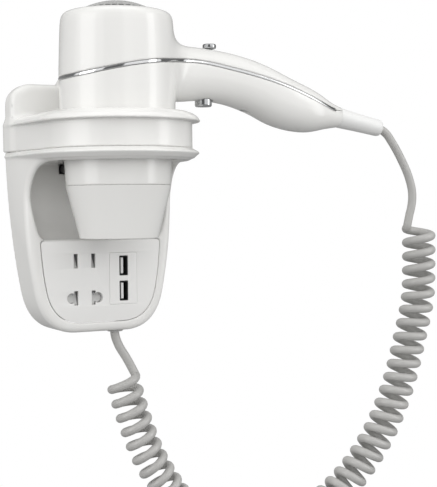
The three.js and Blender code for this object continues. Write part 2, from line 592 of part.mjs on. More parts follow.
add(handset, 'trigger_button', joined(
  post(TRIGGER.radius, TRIGGER.bottom, 79.4, TRIGGER.x),
  post(TRIGGER.radius + 1.2, 78, 79.4, TRIGGER.x),
), 'chrome');
add(handset, 'trigger_switch', box([57, 69], onAxis(5), [85.4, 92]), 'black');
add(handset, 'trigger_spring', ring(1.6, 2.6, 79.7, 85.1, TRIGGER.x, COLLAR.axisOut, 16), 'steel');
add(handset, 'control_board', box([72, 88], onAxis(7), [86, 87.6]), 'board');
add(handset, 'cord_clamp', box([146, 155], onAxis(5), [59.4, 61.6]), 'black');
add(handset, 'handle_lead', tube([[157, -62, 64], [143, -61.5, 63], [120, -61, 67], [100, -61, 76], [91, -62, 82]],
  4, 8, 16), 'cord');
const relief = cut(
  joined(rod(tailPoint(2.6), tailPoint(38.6), ...TAIL.radii), rod(tailPoint(-8), tailPoint(3), 4.6)),
  rod(tailPoint(-10), tailPoint(42), TAIL.bore),
);
add(handset, 'tail_sleeve', relief, 'grey');

// ---------------------------------------------------------------- cord
// The cord leaves the tail sleeve, hangs in a long curly loop and enters the holder from below.
const HANDSET_END = [[208.1, -68.5, 57.1], [212.5, -69.3, 54], [217.5, -70.4, 47], [224.5, -71.9, 34.7],
  [230.7, -73.2, 20.6], [233.2, -73.8, 8.5], [232.4, -73.6, -0.8], [229.4, -73, -10.4]];
const COIL_AXIS = [[238, -74.8, -12.8], [238, -74.8, -42], [237.1, -74.6, -67.5], [230.8, -73.2, -97.3],
  [220, -70.9, -136.5], [203.8, -67.4, -172.3], [179.6, -62.1, -203.9], [145, -54.7, -229.5], [111, -47.3, -241],
  [78.6, -40.2, -231], [57, -35.6, -210], [44.7, -32.9, -191.7], [35.1, -30.8, -173.6], [27.6, -29.2, -153.6],
  [21.6, -27.9, -133.5], [17.3, -27, -115.5]];
const BASE_END = [[24.2, -28.4, -110.6], [20.3, -27.5, -103.4], [15.8, -26.6, -95.8], [13, -26, -87.5],
  [13, -26, -79]];
add(cord, 'cord_handset_end', tube(HANDSET_END, CORD.wire, 8, 12), 'cord');
add(cord, 'cord_coil', tube(COIL_AXIS, CORD.coil, 10, 24), 'cord');
add(cord, 'cord_base_end', tube(BASE_END, CORD.wire, 8, 9), 'cord');

export default hairDryer;
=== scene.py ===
"""Wall-mounted hair dryer: a socket holder with a collar, and a corded handset that hangs in it.

Forms are written in millimetres in the model's own frame: +Z up, the wall at Y = 0, and the holder standing
out of it along -Y. "out" is the distance from the wall, so out = -y. Meshes are turned into metres when made.
"""

from __future__ import annotations

import json
import logging
import math
from collections.abc import Callable, Mapping, Sequence
from dataclasses import dataclass
from enum import Enum

import bmesh
import bpy
import numpy as np
from mathutils import Matrix, Vector

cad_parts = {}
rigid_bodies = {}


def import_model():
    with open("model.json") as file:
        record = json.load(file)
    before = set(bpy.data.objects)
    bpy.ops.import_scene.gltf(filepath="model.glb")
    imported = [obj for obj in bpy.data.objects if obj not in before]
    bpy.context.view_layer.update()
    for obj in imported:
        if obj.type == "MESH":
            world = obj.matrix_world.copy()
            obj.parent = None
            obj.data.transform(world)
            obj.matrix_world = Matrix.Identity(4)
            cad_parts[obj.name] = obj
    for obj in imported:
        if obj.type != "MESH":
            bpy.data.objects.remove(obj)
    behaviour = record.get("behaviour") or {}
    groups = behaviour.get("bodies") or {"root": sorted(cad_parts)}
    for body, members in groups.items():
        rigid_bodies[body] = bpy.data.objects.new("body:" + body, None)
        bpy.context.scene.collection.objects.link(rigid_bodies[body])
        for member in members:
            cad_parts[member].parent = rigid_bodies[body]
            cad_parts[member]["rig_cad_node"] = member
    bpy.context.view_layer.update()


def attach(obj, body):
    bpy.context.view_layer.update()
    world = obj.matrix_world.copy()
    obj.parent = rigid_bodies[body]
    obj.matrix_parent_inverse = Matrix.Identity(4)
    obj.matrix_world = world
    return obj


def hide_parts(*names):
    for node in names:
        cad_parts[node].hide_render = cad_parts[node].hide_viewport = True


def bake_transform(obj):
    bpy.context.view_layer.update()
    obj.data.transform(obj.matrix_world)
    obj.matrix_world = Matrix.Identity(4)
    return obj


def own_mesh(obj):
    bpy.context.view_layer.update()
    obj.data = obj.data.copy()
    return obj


log = logging.getLogger("hair_dryer")

MM = 0.001
AXIS_OUT = 68.5  # distance of the barrel's axis from the wall

WHITE = (1, 1, 1, 1)
DUST_COLOUR = (0.62, 0.6, 0.57, 1)
PIN_HALF = 6.35  # half the spacing of flat mains pins
GRAIN_DEPTH = 0.00005  # height of the surface grain in metres at full strength
COAT_ROUGHNESS = 0.06
WIRE_SIDES = 8
NUMBER, WHOLE, VECTOR = "NodeSocketFloat", "NodeSocketInt", "NodeSocketVector"

Array = np.ndarray
Field = Callable[[Array, Array, Array], Array]
Pairs = Sequence[tuple[float, float]]


class Body(Enum):
    """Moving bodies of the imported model."""

    HOLDER = "holder"
    HANDSET = "handset"
    NOZZLE = "nozzle"
    FAN = "fan"
    SLIDE_KNOB = "slide_knob"
    TRIGGER = "trigger"
    LEVER = "lever"


# ---------------------------------------------------------------- curves and outlines
def smooth_value(at: Array, value: Array, x: Array) -> Array:
    """Reads a smooth curve through numbers or points, which is held constant past its ends.

    Args:
        at: rising positions along the curve.
        value: a number, or a point, for each position.
        x: positions to read.

    Returns:
        The number, or the point, at each position in x.
    """
    x = np.clip(x, at[0], at[-1])
    i = np.clip(np.searchsorted(at, x, side="right") - 1, 0, len(at) - 2)
    width = at[i + 1] - at[i]
    t = (x - at[i]) / width
    if value.ndim > 1:
        width, t = width[:, None], t[:, None]
    slope = np.gradient(value, at, axis=0)
    ease = t * t * (3 - 2 * t)
    bend = width * t * (1 - t) * ((1 - t) * slope[i] - t * slope[i + 1])
    return value[i] * (1 - ease) + value[i + 1] * ease + bend


class SmoothCurve:
    """Value along a smooth curve through (position, value) pairs."""

    def __init__(self, pairs: Pairs) -> None:
        """Keeps the positions and the values.

        Args:
            pairs: (position, value) pairs in rising order of position.
        """
        self.at, self.value = np.array(pairs, float).T

    def __call__(self, x: Array) -> Array:
        """Value of the curve at each position in x."""
        return smooth_value(self.at, self.value, x)


def arc(centre: tuple[float, float], radius: float, start: float, end: float, steps: int = 24) -> list:
    """Points of a circular arc, with its angles in degrees."""
    angles = np.radians(np.linspace(start, end, steps + 1))
    return [(centre[0] + radius * math.cos(a), centre[1] + radius * math.sin(a)) for a in angles]


def bezier(*handles: tuple[float, float], steps: int = 24) -> list:
    """Points of a quadratic or cubic Bezier curve, without its first point.

    Args:
        handles: three or four control points.
        steps: number of points on the curve.

    Returns:
        The points as (u, v) pairs.
    """
    t = np.linspace(0, 1, steps + 1)[1:, None]
    points = np.array(handles, float)
    order = len(points) - 1
    curve = sum(
        math.comb(order, k) * (1 - t) ** (order - k) * t**k * point for k, point in enumerate(points)
    )
    return [tuple(point) for point in curve]


def mirrored(right: list) -> list:
    """Closed outline from its right half, given from the top centre line to the bottom one."""
    return right + [(-u, v) for u, v in reversed(right)]


class Outline:
    """Closed outline in a plane, with the signed distance to it."""

    def __init__(self, points: list) -> None:
        """Keeps the outline's corners.

        Args:
            points: (u, v) corners in order.
        """
        self.points = np.array(points, float)

    def distance(self, u: Array, v: Array) -> Array:
        """Signed distance from (u, v) to the outline, negative inside.

        Args:
            u: first coordinates.
            v: second coordinates, of a shape that broadcasts with u.

        Returns:
            The distance at each place.
        """
        shape = np.broadcast(u, v).shape
        nearest = np.full(shape, np.inf)
        inside = np.zeros(shape, bool)
        for (au, av), (bu, bv) in zip(self.points, np.roll(self.points, -1, axis=0)):
            du, dv = bu - au, bv - av
            length = du * du + dv * dv
            if length < 1e-12:
                continue
            t = np.clip(((u - au) * du + (v - av) * dv) / length, 0, 1)
            nearest = np.minimum(nearest, (u - au - t * du) ** 2 + (v - av - t * dv) ** 2)
            if dv:
                inside ^= ((av > v) != (bv > v)) & (u < du * (v - av) / dv + au)
        return np.sqrt(nearest) * np.where(inside, -1.0, 1.0)


# ---------------------------------------------------------------- solid forms as distance fields
def union(a: Array, b: Array, radius: float | Array) -> Array:
    """Two forms as one, with a fillet of about that radius where they meet."""
    share = np.clip(0.5 + 0.5 * (b - a) / radius, 0, 1)
    return b + (a - b) * share - radius * share * (1 - share)


def both(a: Array, b: Array, radius: float | Array) -> Array:
    """What two forms share, with its edge rounded by about that radius."""
    return -union(-a, -b, radius)


def without(a: Array, b: Array, radius: float | Array) -> Array:
    """The first form less the second, with its edge rounded by about that radius."""
    return both(a, -b, radius)


def between(value: Array, low: float, high: float) -> Array:
    """Distance to the slab between two limits, negative inside."""
    return np.abs(value - (low + high) / 2) - (high - low) / 2


def rounded_box(
    x: Array, y: Array, z: Array, low: Sequence[float], high: Sequence[float], radius: float,
) -> Array:
    """Distance to a box with rounded edges.

    Args:
        x: X of the places.
        y: Y of the places.
        z: Z of the places.
        low: lowest corner.
        high: highest corner.
        radius: radius of every edge.

    Returns:
        The distance at each place.
    """
    gaps = [between(value, a + radius, b - radius) for value, a, b in zip((x, y, z), low, high)]
    outside = sum(np.maximum(gap, 0) ** 2 for gap in gaps)
    inside = np.minimum(np.maximum(np.maximum(gaps[0], gaps[1]), gaps[2]), 0)
    return np.sqrt(outside) + inside - radius


def edges_of_cell() -> list[tuple[Array, Array]]:
    """The twelve edges of a unit cell, each as its two corners."""
    edges = []
    for axis in range(3):
        step = np.eye(3, dtype=int)[axis]
        others = [np.eye(3, dtype=int)[(axis + k) % 3] for k in (1, 2)]
        for i in (0, 1):
            for j in (0, 1):
                start = i * others[0] + j * others[1]
                edges.append((start, start + step))
    return edges


def settle(points: Array, form: Field, limit: float, rounds: int = 3) -> Array:
    """Moves points onto the surface where a field is zero.

    Args:
        points: places near the surface.
        form: the distance field.
        limit: the furthest that a point moves in one round.
        rounds: number of Newton steps.

    Returns:
        The moved points.
    """
    reach = 0.05
    for _ in range(rounds):
        value = form(*points.T)
        slope = np.stack([(form(*(points + reach * unit).T) - value) / reach for unit in np.eye(3)], axis=1)
        move = slope * (value / np.maximum((slope**2).sum(1), 0.05))[:, None]
        length = np.linalg.norm(move, axis=1, keepdims=True)
        points = points - move * np.minimum(1, limit / np.maximum(length, 1e-9))
    return points


def surface_of(form: Field, low: Sequence[float], high: Sequence[float], step: float) -> tuple[Array, Array]:
    """Closed quad surface of a distance field, by surface nets.

    Args:
        form: the distance field, negative inside.
        low: lowest corner of the space to look in, clear of the form.
        high: highest corner of that space.
        step: spacing of the grid.

    Returns:
        Vertices, and quads that face outwards.
    """
    low = np.array(low, float)
    axes = [np.arange(a, b + step, step) for a, b in zip(low, high)]
    x, y, z = np.meshgrid(*axes, indexing="ij", sparse=True)
    values = np.ascontiguousarray(np.broadcast_to(form(x, y, z), [len(axis) for axis in axes]))
    inside = values < 0
    size = np.array(inside.shape) - 1
    count = np.zeros(size, np.int8)
    for di, dj, dk in np.ndindex(2, 2, 2):
        count += inside[di : size[0] + di, dj : size[1] + dj, dk : size[2] + dk]
    crossed = (count > 0) & (count < 8)
    cells = np.argwhere(crossed)
    number = np.full(crossed.shape, -1, np.int32)
    number[crossed] = np.arange(len(cells))
    total = np.zeros((len(cells), 3))
    hits = np.zeros(len(cells))
    for start, end in edges_of_cell():
        first = values[tuple((cells + start).T)]
        last = values[tuple((cells + end).T)]
        cut = (first < 0) != (last < 0)
        share = (first[cut] / (first[cut] - last[cut]))[:, None]
        total[cut] += start + share * (end - start)
        hits += cut
    vertices = low + step * (cells + total / hits[:, None])
    quads = []
    for axis in range(3):
        unit, side, up = (np.eye(3, dtype=int)[(axis + k) % 3] for k in range(3))
        here = inside[tuple(slice(0, n + 1 - u) for n, u in zip(size, unit))]
        there = inside[tuple(slice(u, n + 1) for n, u in zip(size, unit))]
        for leaving in (True, False):
            places = np.argwhere((here & ~there) if leaving else (there & ~here))
            ring = (places, places - side, places - side - up, places - up)
            quad = np.stack([number[tuple(place.T)] for place in ring], axis=1)
            quads.append(quad if leaving else quad[:, ::-1])
    return settle(vertices, form, step / 2), np.concatenate(quads)


# ---------------------------------------------------------------- meshes
def new_object(name: str, mesh: bpy.types.Mesh) -> bpy.types.Object:
    """Object of a mesh, linked to the scene at the origin."""
    piece = bpy.data.objects.new(name, mesh)
    bpy.context.scene.collection.objects.link(piece)
    return piece


def shade(mesh: bpy.types.Mesh, sharp: float | None) -> None:
    """Makes every face smooth, and keeps edges sharp past an angle in degrees where one is given."""
    mesh.polygons.foreach_set("use_smooth", np.ones(len(mesh.polygons), bool))
    if sharp is not None:
        mesh.set_sharp_from_angle(angle=math.radians(sharp))


def mesh_of(name: str, vertices: Array, faces: Array | list, sharp: float | None = None) -> bpy.types.Mesh:
    """Smooth-shaded mesh from millimetre vertices.

    Args:
        name: name of the mesh.
        vertices: places in millimetres.
        faces: an array of quads, or a list of faces of any size.
        sharp: angle in degrees past which an edge stays sharp, or None for none.

    Returns:
        The mesh in metres.
    """
    mesh = bpy.data.meshes.new(name)
    sizes = np.array([len(face) for face in faces], np.int32)
    loops = np.concatenate([np.asarray(face, np.int32) for face in faces])
    mesh.vertices.add(len(vertices))
    mesh.vertices.foreach_set("co", (np.asarray(vertices, float) * MM).astype(np.float32).ravel())
    mesh.loops.add(len(loops))
    mesh.loops.foreach_set("vertex_index", loops)
    mesh.polygons.add(len(sizes))
    mesh.polygons.foreach_set("loop_start", np.concatenate([[0], np.cumsum(sizes)[:-1]]).astype(np.int32))
    mesh.update(calc_edges=True)
    mesh.validate()
    shade(mesh, sharp)
    return mesh


def evaluated(host: bpy.types.Object, name: str) -> bpy.types.Mesh:
    """Plain mesh of what an object's curve or modifiers make. The object is removed.

    Args:
        host: the object.
        name: name of the mesh.

    Returns:
        The mesh.
    """
    mesh = bpy.data.meshes.new_from_object(host.evaluated_get(bpy.context.evaluated_depsgraph_get()))
    bpy.data.objects.remove(host)
    mesh.name = name
    return mesh


def moulded(
    name: str, form: Field, low: Sequence[float], high: Sequence[float], step: float,
) -> bpy.types.Object:
    """Object of a distance field; low and high are (x, out, z) limits of the space it fills.

    Args:
        name: name of the piece.
        form: distance field in (x, y, z).
        low: lowest x, out and z.
        high: highest x, out and z.
        step: spacing of the surface's vertices.

    Returns:
        The finished object.
    """
    margin = 2.5 * step
    corner = (low[0] - margin, -high[1] - margin, low[2] - margin)
    other = (high[0] + margin, -low[1] + margin, high[2] + margin)
    vertices, quads = surface_of(form, corner, other, step)
    return new_object(name, mesh_of(name, vertices, quads))


def frames_along(path: Array) -> tuple[Array, Array]:
    """Two unit vectors across a path at each of its points, carried along without twist.

    Args:
        path: points of the path.

    Returns:
        The first and the second vector at each point.
    """
    tangents = np.gradient(path, axis=0)
    tangents /= np.linalg.norm(tangents, axis=1, keepdims=True)
    across = np.cross(tangents[0], (0.0, 0.0, 1.0))
    if np.linalg.norm(across) < 0.1:
        across = np.cross(tangents[0], (0.0, 1.0, 0.0))
    first = np.zeros_like(path)
    for i, tangent in enumerate(tangents):
        across = across - tangent * (across @ tangent)
        across /= np.linalg.norm(across)
        first[i] = across
    return first, np.cross(tangents, first)


def tube_mesh(name: str, path: Array, radius: float, sides: int = 12) -> bpy.types.Mesh:
    """Closed tube along a path in millimetres.

    Args:
        name: name of the mesh.
        path: points of the centreline.
        radius: radius of the tube.
        sides: number of sides.

    Returns:
        The mesh in metres.
    """
    first, second = frames_along(path)
    angles = np.linspace(0, 2 * math.pi, sides, endpoint=False)
    around = first[:, None] * np.cos(angles)[:, None] + second[:, None] * np.sin(angles)[:, None]
    vertices = (path[:, None] + radius * around).reshape(-1, 3)
    return mesh_of(name, vertices, capped_faces(len(path), sides), sharp=60)


def ring_quads(rings: int, sides: int, closed: bool) -> Array:
    """Quads that join neighbouring rings of vertices.

    Args:
        rings: number of rings.
        sides: vertices in a ring, which is closed on itself.
        closed: whether the last ring joins the first.

    Returns:
        The quads.
    """
    i, j = np.meshgrid(np.arange(rings if closed else rings - 1), np.arange(sides), indexing="ij")
    after, k = (i + 1) % rings, (j + 1) % sides
    quads = np.stack([i * sides + j, i * sides + k, after * sides + k, after * sides + j], axis=-1)
    return quads.reshape(-1, 4)


def capped_faces(rings: int, sides: int) -> list:
    """Faces of a row of rings with a cap on the first and on the last."""
    last = (rings - 1) * sides
    caps = [list(range(sides))[::-1], [last + i for i in range(sides)]]
    return [*ring_quads(rings, sides, closed=False).tolist(), *caps]


def turned(
    name: str, profile: Pairs, place: tuple[float, float, float] = (0, AXIS_OUT, 0),
    axis: Sequence[float] = (0, 0, 1), sides: int = 96, sharp: float = 28,
) -> bpy.types.Object:
    """Closed turned piece.

    Args:
        name: name of the piece.
        profile: (radius, height) corners of the closed profile, anticlockwise seen with the axis on the left.
        place: x, out and z of the axis's zero.
        axis: direction of the axis in (x, y, z).
        sides: number of sides.
        sharp: angle in degrees past which an edge stays sharp.

    Returns:
        The finished object.
    """
    radius, height = np.array(profile, float).T
    angles = np.linspace(0, 2 * math.pi, sides, endpoint=False)
    turn = np.array(Vector((0, 0, 1)).rotation_difference(Vector(axis)).to_matrix())
    flat = np.stack(np.broadcast_arrays(
        radius[:, None] * np.cos(angles), radius[:, None] * np.sin(angles), height[:, None]), axis=-1)
    vertices = flat.reshape(-1, 3) @ turn.T + (place[0], -place[1], place[2])
    mesh = mesh_of(name, vertices, ring_quads(len(profile), sides, closed=True), sharp)
    merge_doubles(mesh)
    return new_object(name, mesh)


def merge_doubles(mesh: bpy.types.Mesh) -> None:
    """Merges vertices that share a place, such as a turned piece's pole, and drops empty faces."""
    work = bmesh.new()
    work.from_mesh(mesh)
    bmesh.ops.remove_doubles(work, verts=work.verts, dist=1e-6)
    work.to_mesh(mesh)
    work.free()
    mesh.update()


def face_outwards(mesh: bpy.types.Mesh) -> None:
    """Turns the faces of one closed skin outwards."""
    work = bmesh.new()
    work.from_mesh(mesh)
    bmesh.ops.recalc_face_normals(work, faces=work.faces)
    work.to_mesh(mesh)
    work.free()
    mesh.update()


def plate(
    name: str, outline: list, holes: list[list], out: tuple[float, float], bevel: float,
) -> bpy.types.Object:
    """Flat plate parallel to the wall, with holes and bevelled edges.

    Args:
        name: name of the piece.
        outline: (x, z) corners.
        holes: outlines of the holes.
        out: distance from the wall of its back and its front.
        bevel: size of the bevel on every edge.

    Returns:
        The finished object.
    """
    curve = bpy.data.curves.new(name, "CURVE")
    curve.dimensions = "2D"
    curve.fill_mode = "BOTH"
    for points in (outline, *holes):
        spline = curve.splines.new("POLY")
        spline.points.add(len(points) - 1)
        spline.use_cyclic_u = True
        for point, (x, z) in zip(spline.points, points):
            point.co = (x * MM, z * MM, 0, 1)
    curve.extrude = (out[1] - out[0]) / 2 * MM - bevel * MM
    curve.bevel_depth = bevel * MM
    curve.bevel_resolution = 2
    curve.offset = -bevel * MM
    host = bpy.data.objects.new(name + "_outline", curve)
    bpy.context.scene.collection.objects.link(host)
    mesh = evaluated(host, name)
    stand = Matrix.Translation((0, -(out[0] + out[1]) / 2 * MM, 0)) @ Matrix.Rotation(math.pi / 2, 4, "X")
    mesh.transform(stand)
    merge_doubles(mesh)
    shade(mesh, 25)
    return new_object(name, mesh)


def joined(name: str, pieces: list[bpy.types.Object]) -> bpy.types.Object:
    """Several objects as one.

    Args:
        name: name of the joined piece.
        pieces: objects to join, which are removed.

    Returns:
        The joined object.
    """
    work = bmesh.new()
    for piece in pieces:
        work.from_mesh(piece.data)
        bpy.data.objects.remove(piece)
    mesh = bpy.data.meshes.new(name)
    work.to_mesh(mesh)
    work.free()
    return new_object(name, mesh)


def circle(x: float, z: float, radius: float, steps: int = 40) -> list:
    """Round outline in a plane."""
    return arc((x, z), radius, 0, 360 - 360 / steps, steps - 1)


def rounded_rectangle(x: float, z: float, width: float, height: float, radius: float) -> list:
    """Rectangle with round corners, centred on x and z."""
    points = []
    for side, up, start in ((1, 1, 0), (-1, 1, 90), (-1, -1, 180), (1, -1, 270)):
        centre = (x + side * (width / 2 - radius), z + up * (height / 2 - radius))
        points += arc(centre, radius, start, start + 90, 5)
    return points


# ---------------------------------------------------------------- shader groups and finishes
def connect(tree: bpy.types.NodeTree, node: bpy.types.Node, inputs: Mapping[str | int, object]) -> None:
    """Links a node's inputs to sockets or sets them to values.

    Args:
        tree: the tree that holds the node.
        node: the node.
        inputs: a socket or a value for each input, by its label or its number.
    """
    for label, value in inputs.items():
        if isinstance(value, bpy.types.NodeSocket):
            tree.links.new(value, node.inputs[label])
        else:
            node.inputs[label].default_value = value


def add_node(
    tree: bpy.types.NodeTree, kind: str, inputs: Mapping[str | int, object] | None = None, **options: object,
) -> bpy.types.Node:
    """Adds a node with its options and inputs.

    Args:
        tree: the tree.
        kind: Blender's name of the node.
        inputs: a socket or a value for each input, by its label or its number.
        options: the node's own settings, which choose the inputs that it shows.

    Returns:
        The node.
    """
    node = tree.nodes.new(kind)
    for option, value in options.items():
        setattr(node, option, value)
    connect(tree, node, inputs or {})
    return node


def maths(tree: bpy.types.NodeTree, operation: str, first: object, second: object) -> bpy.types.NodeSocket:
    """Result of a maths node on two sockets or numbers."""
    return add_node(tree, "ShaderNodeMath", {0: first, 1: second}, operation=operation).outputs["Value"]


class ShaderGroups:
    """Shader node groups that several finishes share, each built once."""

    def __init__(self) -> None:
        """Builds the groups."""
        self.grain = self._grain()
        self.dust = self._dust()

    @staticmethod
    def _new(name: str, inputs: Mapping[str, float], outputs: Sequence[str]) -> bpy.types.NodeTree:
        """Empty shader group that takes a vector and numbers and puts out numbers.

        Args:
            name: name of the group.
            inputs: names and defaults of its number inputs.
            outputs: names of its outputs.

        Returns:
            The group, with its input and output nodes.
        """
        group = bpy.data.node_groups.new(name, "ShaderNodeTree")
        group.interface.new_socket("Vector", in_out="INPUT", socket_type=VECTOR)
        for label, default in inputs.items():
            socket = group.interface.new_socket(label, in_out="INPUT", socket_type=NUMBER)
            socket.default_value = default
        for label in outputs:
            group.interface.new_socket(label, in_out="OUTPUT", socket_type=NUMBER)
        group.nodes.new("NodeGroupInput").name = "Inputs"
        group.nodes.new("NodeGroupOutput").name = "Outputs"
        return group

    def _grain(self) -> bpy.types.NodeTree:
        """Grain of a moulded or drawn surface: a fine height, a broad tone and a roughness."""
        inputs = {"Scale": 900.0, "Broad Scale": 18.0, "Low": 0.2, "High": 0.3}
        group = self._new("surface_grain", inputs, ["Height", "Tone", "Roughness"])
        given = group.nodes["Inputs"].outputs
        fine, broad = (
            add_node(group, "ShaderNodeTexNoise", {
                "Vector": given["Vector"], "Scale": given[scale], "Detail": detail}).outputs["Fac"]
            for scale, detail in (("Scale", 2), ("Broad Scale", 4))
        )
        spread = add_node(group, "ShaderNodeMapRange", {
            "Value": broad, "From Min": 0.35, "From Max": 0.65, "To Min": given["Low"],
            "To Max": given["High"]})
        results = {"Height": fine, "Tone": broad, "Roughness": spread.outputs["Result"]}
        connect(group, group.nodes["Outputs"], results)
        return group

    def _dust(self) -> bpy.types.NodeTree:
        """Mask of the thin dust that settles on faces that look up."""
        group = self._new("settled_dust", {"Scale": 60.0, "Amount": 0.3}, ["Mask"])
        given = group.nodes["Inputs"].outputs
        normal = add_node(group, "ShaderNodeNewGeometry").outputs["Normal"]
        height = add_node(group, "ShaderNodeSeparateXYZ", {"Vector": normal}).outputs["Z"]
        facing = add_node(group, "ShaderNodeMapRange", {"Value": height, "From Min": 0.6}).outputs["Result"]
        noise = add_node(group, "ShaderNodeTexNoise", {
            "Vector": given["Vector"], "Scale": given["Scale"], "Detail": 6}).outputs["Fac"]
        patches = add_node(group, "ShaderNodeMapRange", {
            "Value": noise, "From Min": 0.4, "From Max": 0.7}).outputs["Result"]
        share = maths(group, "MULTIPLY", facing, patches)
        connect(group, group.nodes["Outputs"], {"Mask": maths(group, "MULTIPLY", share, given["Amount"])})
        return group


@dataclass(frozen=True)
class Finish:
    """One finish: its colours, gloss and surface grain."""

    slot: str
    colour: tuple[float, float, float]
    shade: tuple[float, float, float]
    roughness: tuple[float, float]
    metallic: float = 0.0
    coat: float = 0.0
    grain: float = 900.0
    broad: float = 18.0
    bump: float = 0.02
    stretch: tuple[float, float, float] = (1, 1, 1)
    dust: float = 0.0

    def material(self, name: str, groups: ShaderGroups) -> bpy.types.Material:
        """Builds the finish as a material.

        Args:
            name: name of the material.
            groups: the shared shader groups.

        Returns:
            The material.
        """
        material = bpy.data.materials.new(name)
        material.use_nodes = True
        tree = material.node_tree
        place = add_node(tree, "ShaderNodeTexCoord").outputs["Object"]
        mapping = add_node(tree, "ShaderNodeMapping", {"Vector": place, "Scale": self.stretch})
        low, high = self.roughness
        grain = add_node(tree, "ShaderNodeGroup", {
            "Vector": mapping.outputs["Vector"], "Scale": self.grain, "Broad Scale": self.broad, "Low": low,
            "High": high}, node_tree=groups.grain).outputs
        colour = add_node(tree, "ShaderNodeMix", {
            "Factor": grain["Tone"], "A": (*self.colour, 1), "B": (*self.shade, 1)},
            data_type="RGBA").outputs["Result"]
        if self.dust:
            dust = add_node(tree, "ShaderNodeGroup", {
                "Vector": place, "Amount": self.dust}, node_tree=groups.dust).outputs["Mask"]
            colour = add_node(tree, "ShaderNodeMix", {
                "Factor": dust, "A": colour, "B": DUST_COLOUR}, data_type="RGBA").outputs["Result"]
        bump = add_node(tree, "ShaderNodeBump", {
            "Strength": self.bump, "Distance": GRAIN_DEPTH, "Height": grain["Height"]})
        connect(tree, tree.nodes["Principled BSDF"], {
            "Base Color": colour, "Metallic": self.metallic, "Roughness": grain["Roughness"],
            "Coat Weight": self.coat, "Coat Roughness": COAT_ROUGHNESS, "Normal": bump.outputs["Normal"]})
        return material


FINISHES = {
    "gloss_white": Finish("holder_white", (0.86, 0.855, 0.835), (0.83, 0.825, 0.805), (0.2, 0.26),
                          coat=0.25, bump=0.05, dust=0.12),
    "handset_white": Finish("handset_white", (0.86, 0.855, 0.835), (0.835, 0.83, 0.81), (0.17, 0.22),
                            coat=0.3, bump=0.04, dust=0.08),
    "panel_white": Finish("panel_white", (0.87, 0.866, 0.85), (0.845, 0.84, 0.825), (0.3, 0.38),
                          grain=2600, bump=0.25),
    "port_white": Finish("port_white", (0.86, 0.86, 0.85), (0.8, 0.8, 0.79), (0.35, 0.45)),
    "grey_plastic": Finish("grey_plastic", (0.5, 0.51, 0.515), (0.44, 0.45, 0.455), (0.36, 0.5), bump=0.2),
    "grille_grey": Finish("soft_grey", (0.5, 0.5, 0.49), (0.44, 0.44, 0.43), (0.38, 0.5),
                          grain=1800, bump=0.2),
    "soft_grey": Finish("soft_grey", (0.66, 0.66, 0.65), (0.6, 0.6, 0.59), (0.38, 0.5), grain=1800, bump=0.2),
    "chrome": Finish("chrome_trim", (0.78, 0.785, 0.79), (0.72, 0.725, 0.73), (0.05, 0.1), metallic=1,
                     grain=500, bump=0.02, stretch=(1, 1, 30)),
    "button_chrome": Finish("button_chrome", (0.6, 0.61, 0.62), (0.5, 0.51, 0.52), (0.1, 0.18), metallic=1),
    "black_plastic": Finish("black_plastic", (0.012, 0.012, 0.013), (0.022, 0.022, 0.023), (0.3, 0.45),
                            bump=0.15),
    "steel": Finish("steel", (0.52, 0.53, 0.54), (0.4, 0.41, 0.42), (0.25, 0.4), metallic=1, grain=700,
                    bump=0.1, stretch=(1, 1, 12)),
    "brass": Finish("brass", (0.66, 0.47, 0.18), (0.5, 0.34, 0.12), (0.26, 0.42), metallic=1, bump=0.1),
    "mica": Finish("mica", (0.42, 0.34, 0.23), (0.56, 0.47, 0.34), (0.4, 0.65), broad=120, bump=0.3,
                   stretch=(1, 1, 5)),
    "board": Finish("board", (0.02, 0.14, 0.06), (0.03, 0.2, 0.09), (0.3, 0.45), broad=300, bump=0.2),
    "heating_wire": Finish("heating_wire", (0.32, 0.27, 0.24), (0.2, 0.16, 0.14), (0.4, 0.6), metallic=1),
    "cord_sheath": Finish("cord_sheath", (0.5, 0.495, 0.48), (0.44, 0.435, 0.42), (0.3, 0.4), coat=0.15,
                          grain=1500, bump=0.08),
    "filter_mesh": Finish("steel", (0.05, 0.05, 0.05), (0.12, 0.12, 0.12), (0.5, 0.7), metallic=1, grain=3000,
                          bump=0.8),
}


class Paint:
    """Gives pieces and carried-over nodes their finishes."""

    def __init__(self) -> None:
        """Builds every finish once."""
        groups = ShaderGroups()
        self.materials = {name: finish.material(name, groups) for name, finish in FINISHES.items()}

    def dress(self, piece: bpy.types.Object, finish: str) -> bpy.types.Object:
        """Puts one finish on all of a piece.

        Args:
            piece: a mesh object.
            finish: a name in FINISHES.

        Returns:
            The same piece.
        """
        materials = piece.data.materials
        if len(materials):
            for slot in piece.material_slots:
                slot.material = self.materials[finish]
        else:
            materials.append(self.materials[finish])
        return piece

    def dress_nodes(self, finish: str, *nodes: str) -> None:
        """Puts one finish on CAD nodes that keep their own shape."""
        for node in nodes:
            self.dress(bpy.data.objects[node], finish)


def settle_piece(piece: bpy.types.Object, body: Body, *nodes: str) -> bpy.types.Object:
    """Makes a piece ride on a body in place of CAD nodes, and reports it.

    Args:
        piece: the finished piece.
        body: the body it moves with.
        nodes: CAD nodes it stands for.

    Returns:
        The same piece.
    """
    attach(piece, body.value)
    if nodes:
        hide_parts(*nodes)
    faces = len(piece.data.polygons)
    log.info("%s: %d faces, on %s, for %s", piece.name, faces, body.value, nodes or "itself")
    return piece


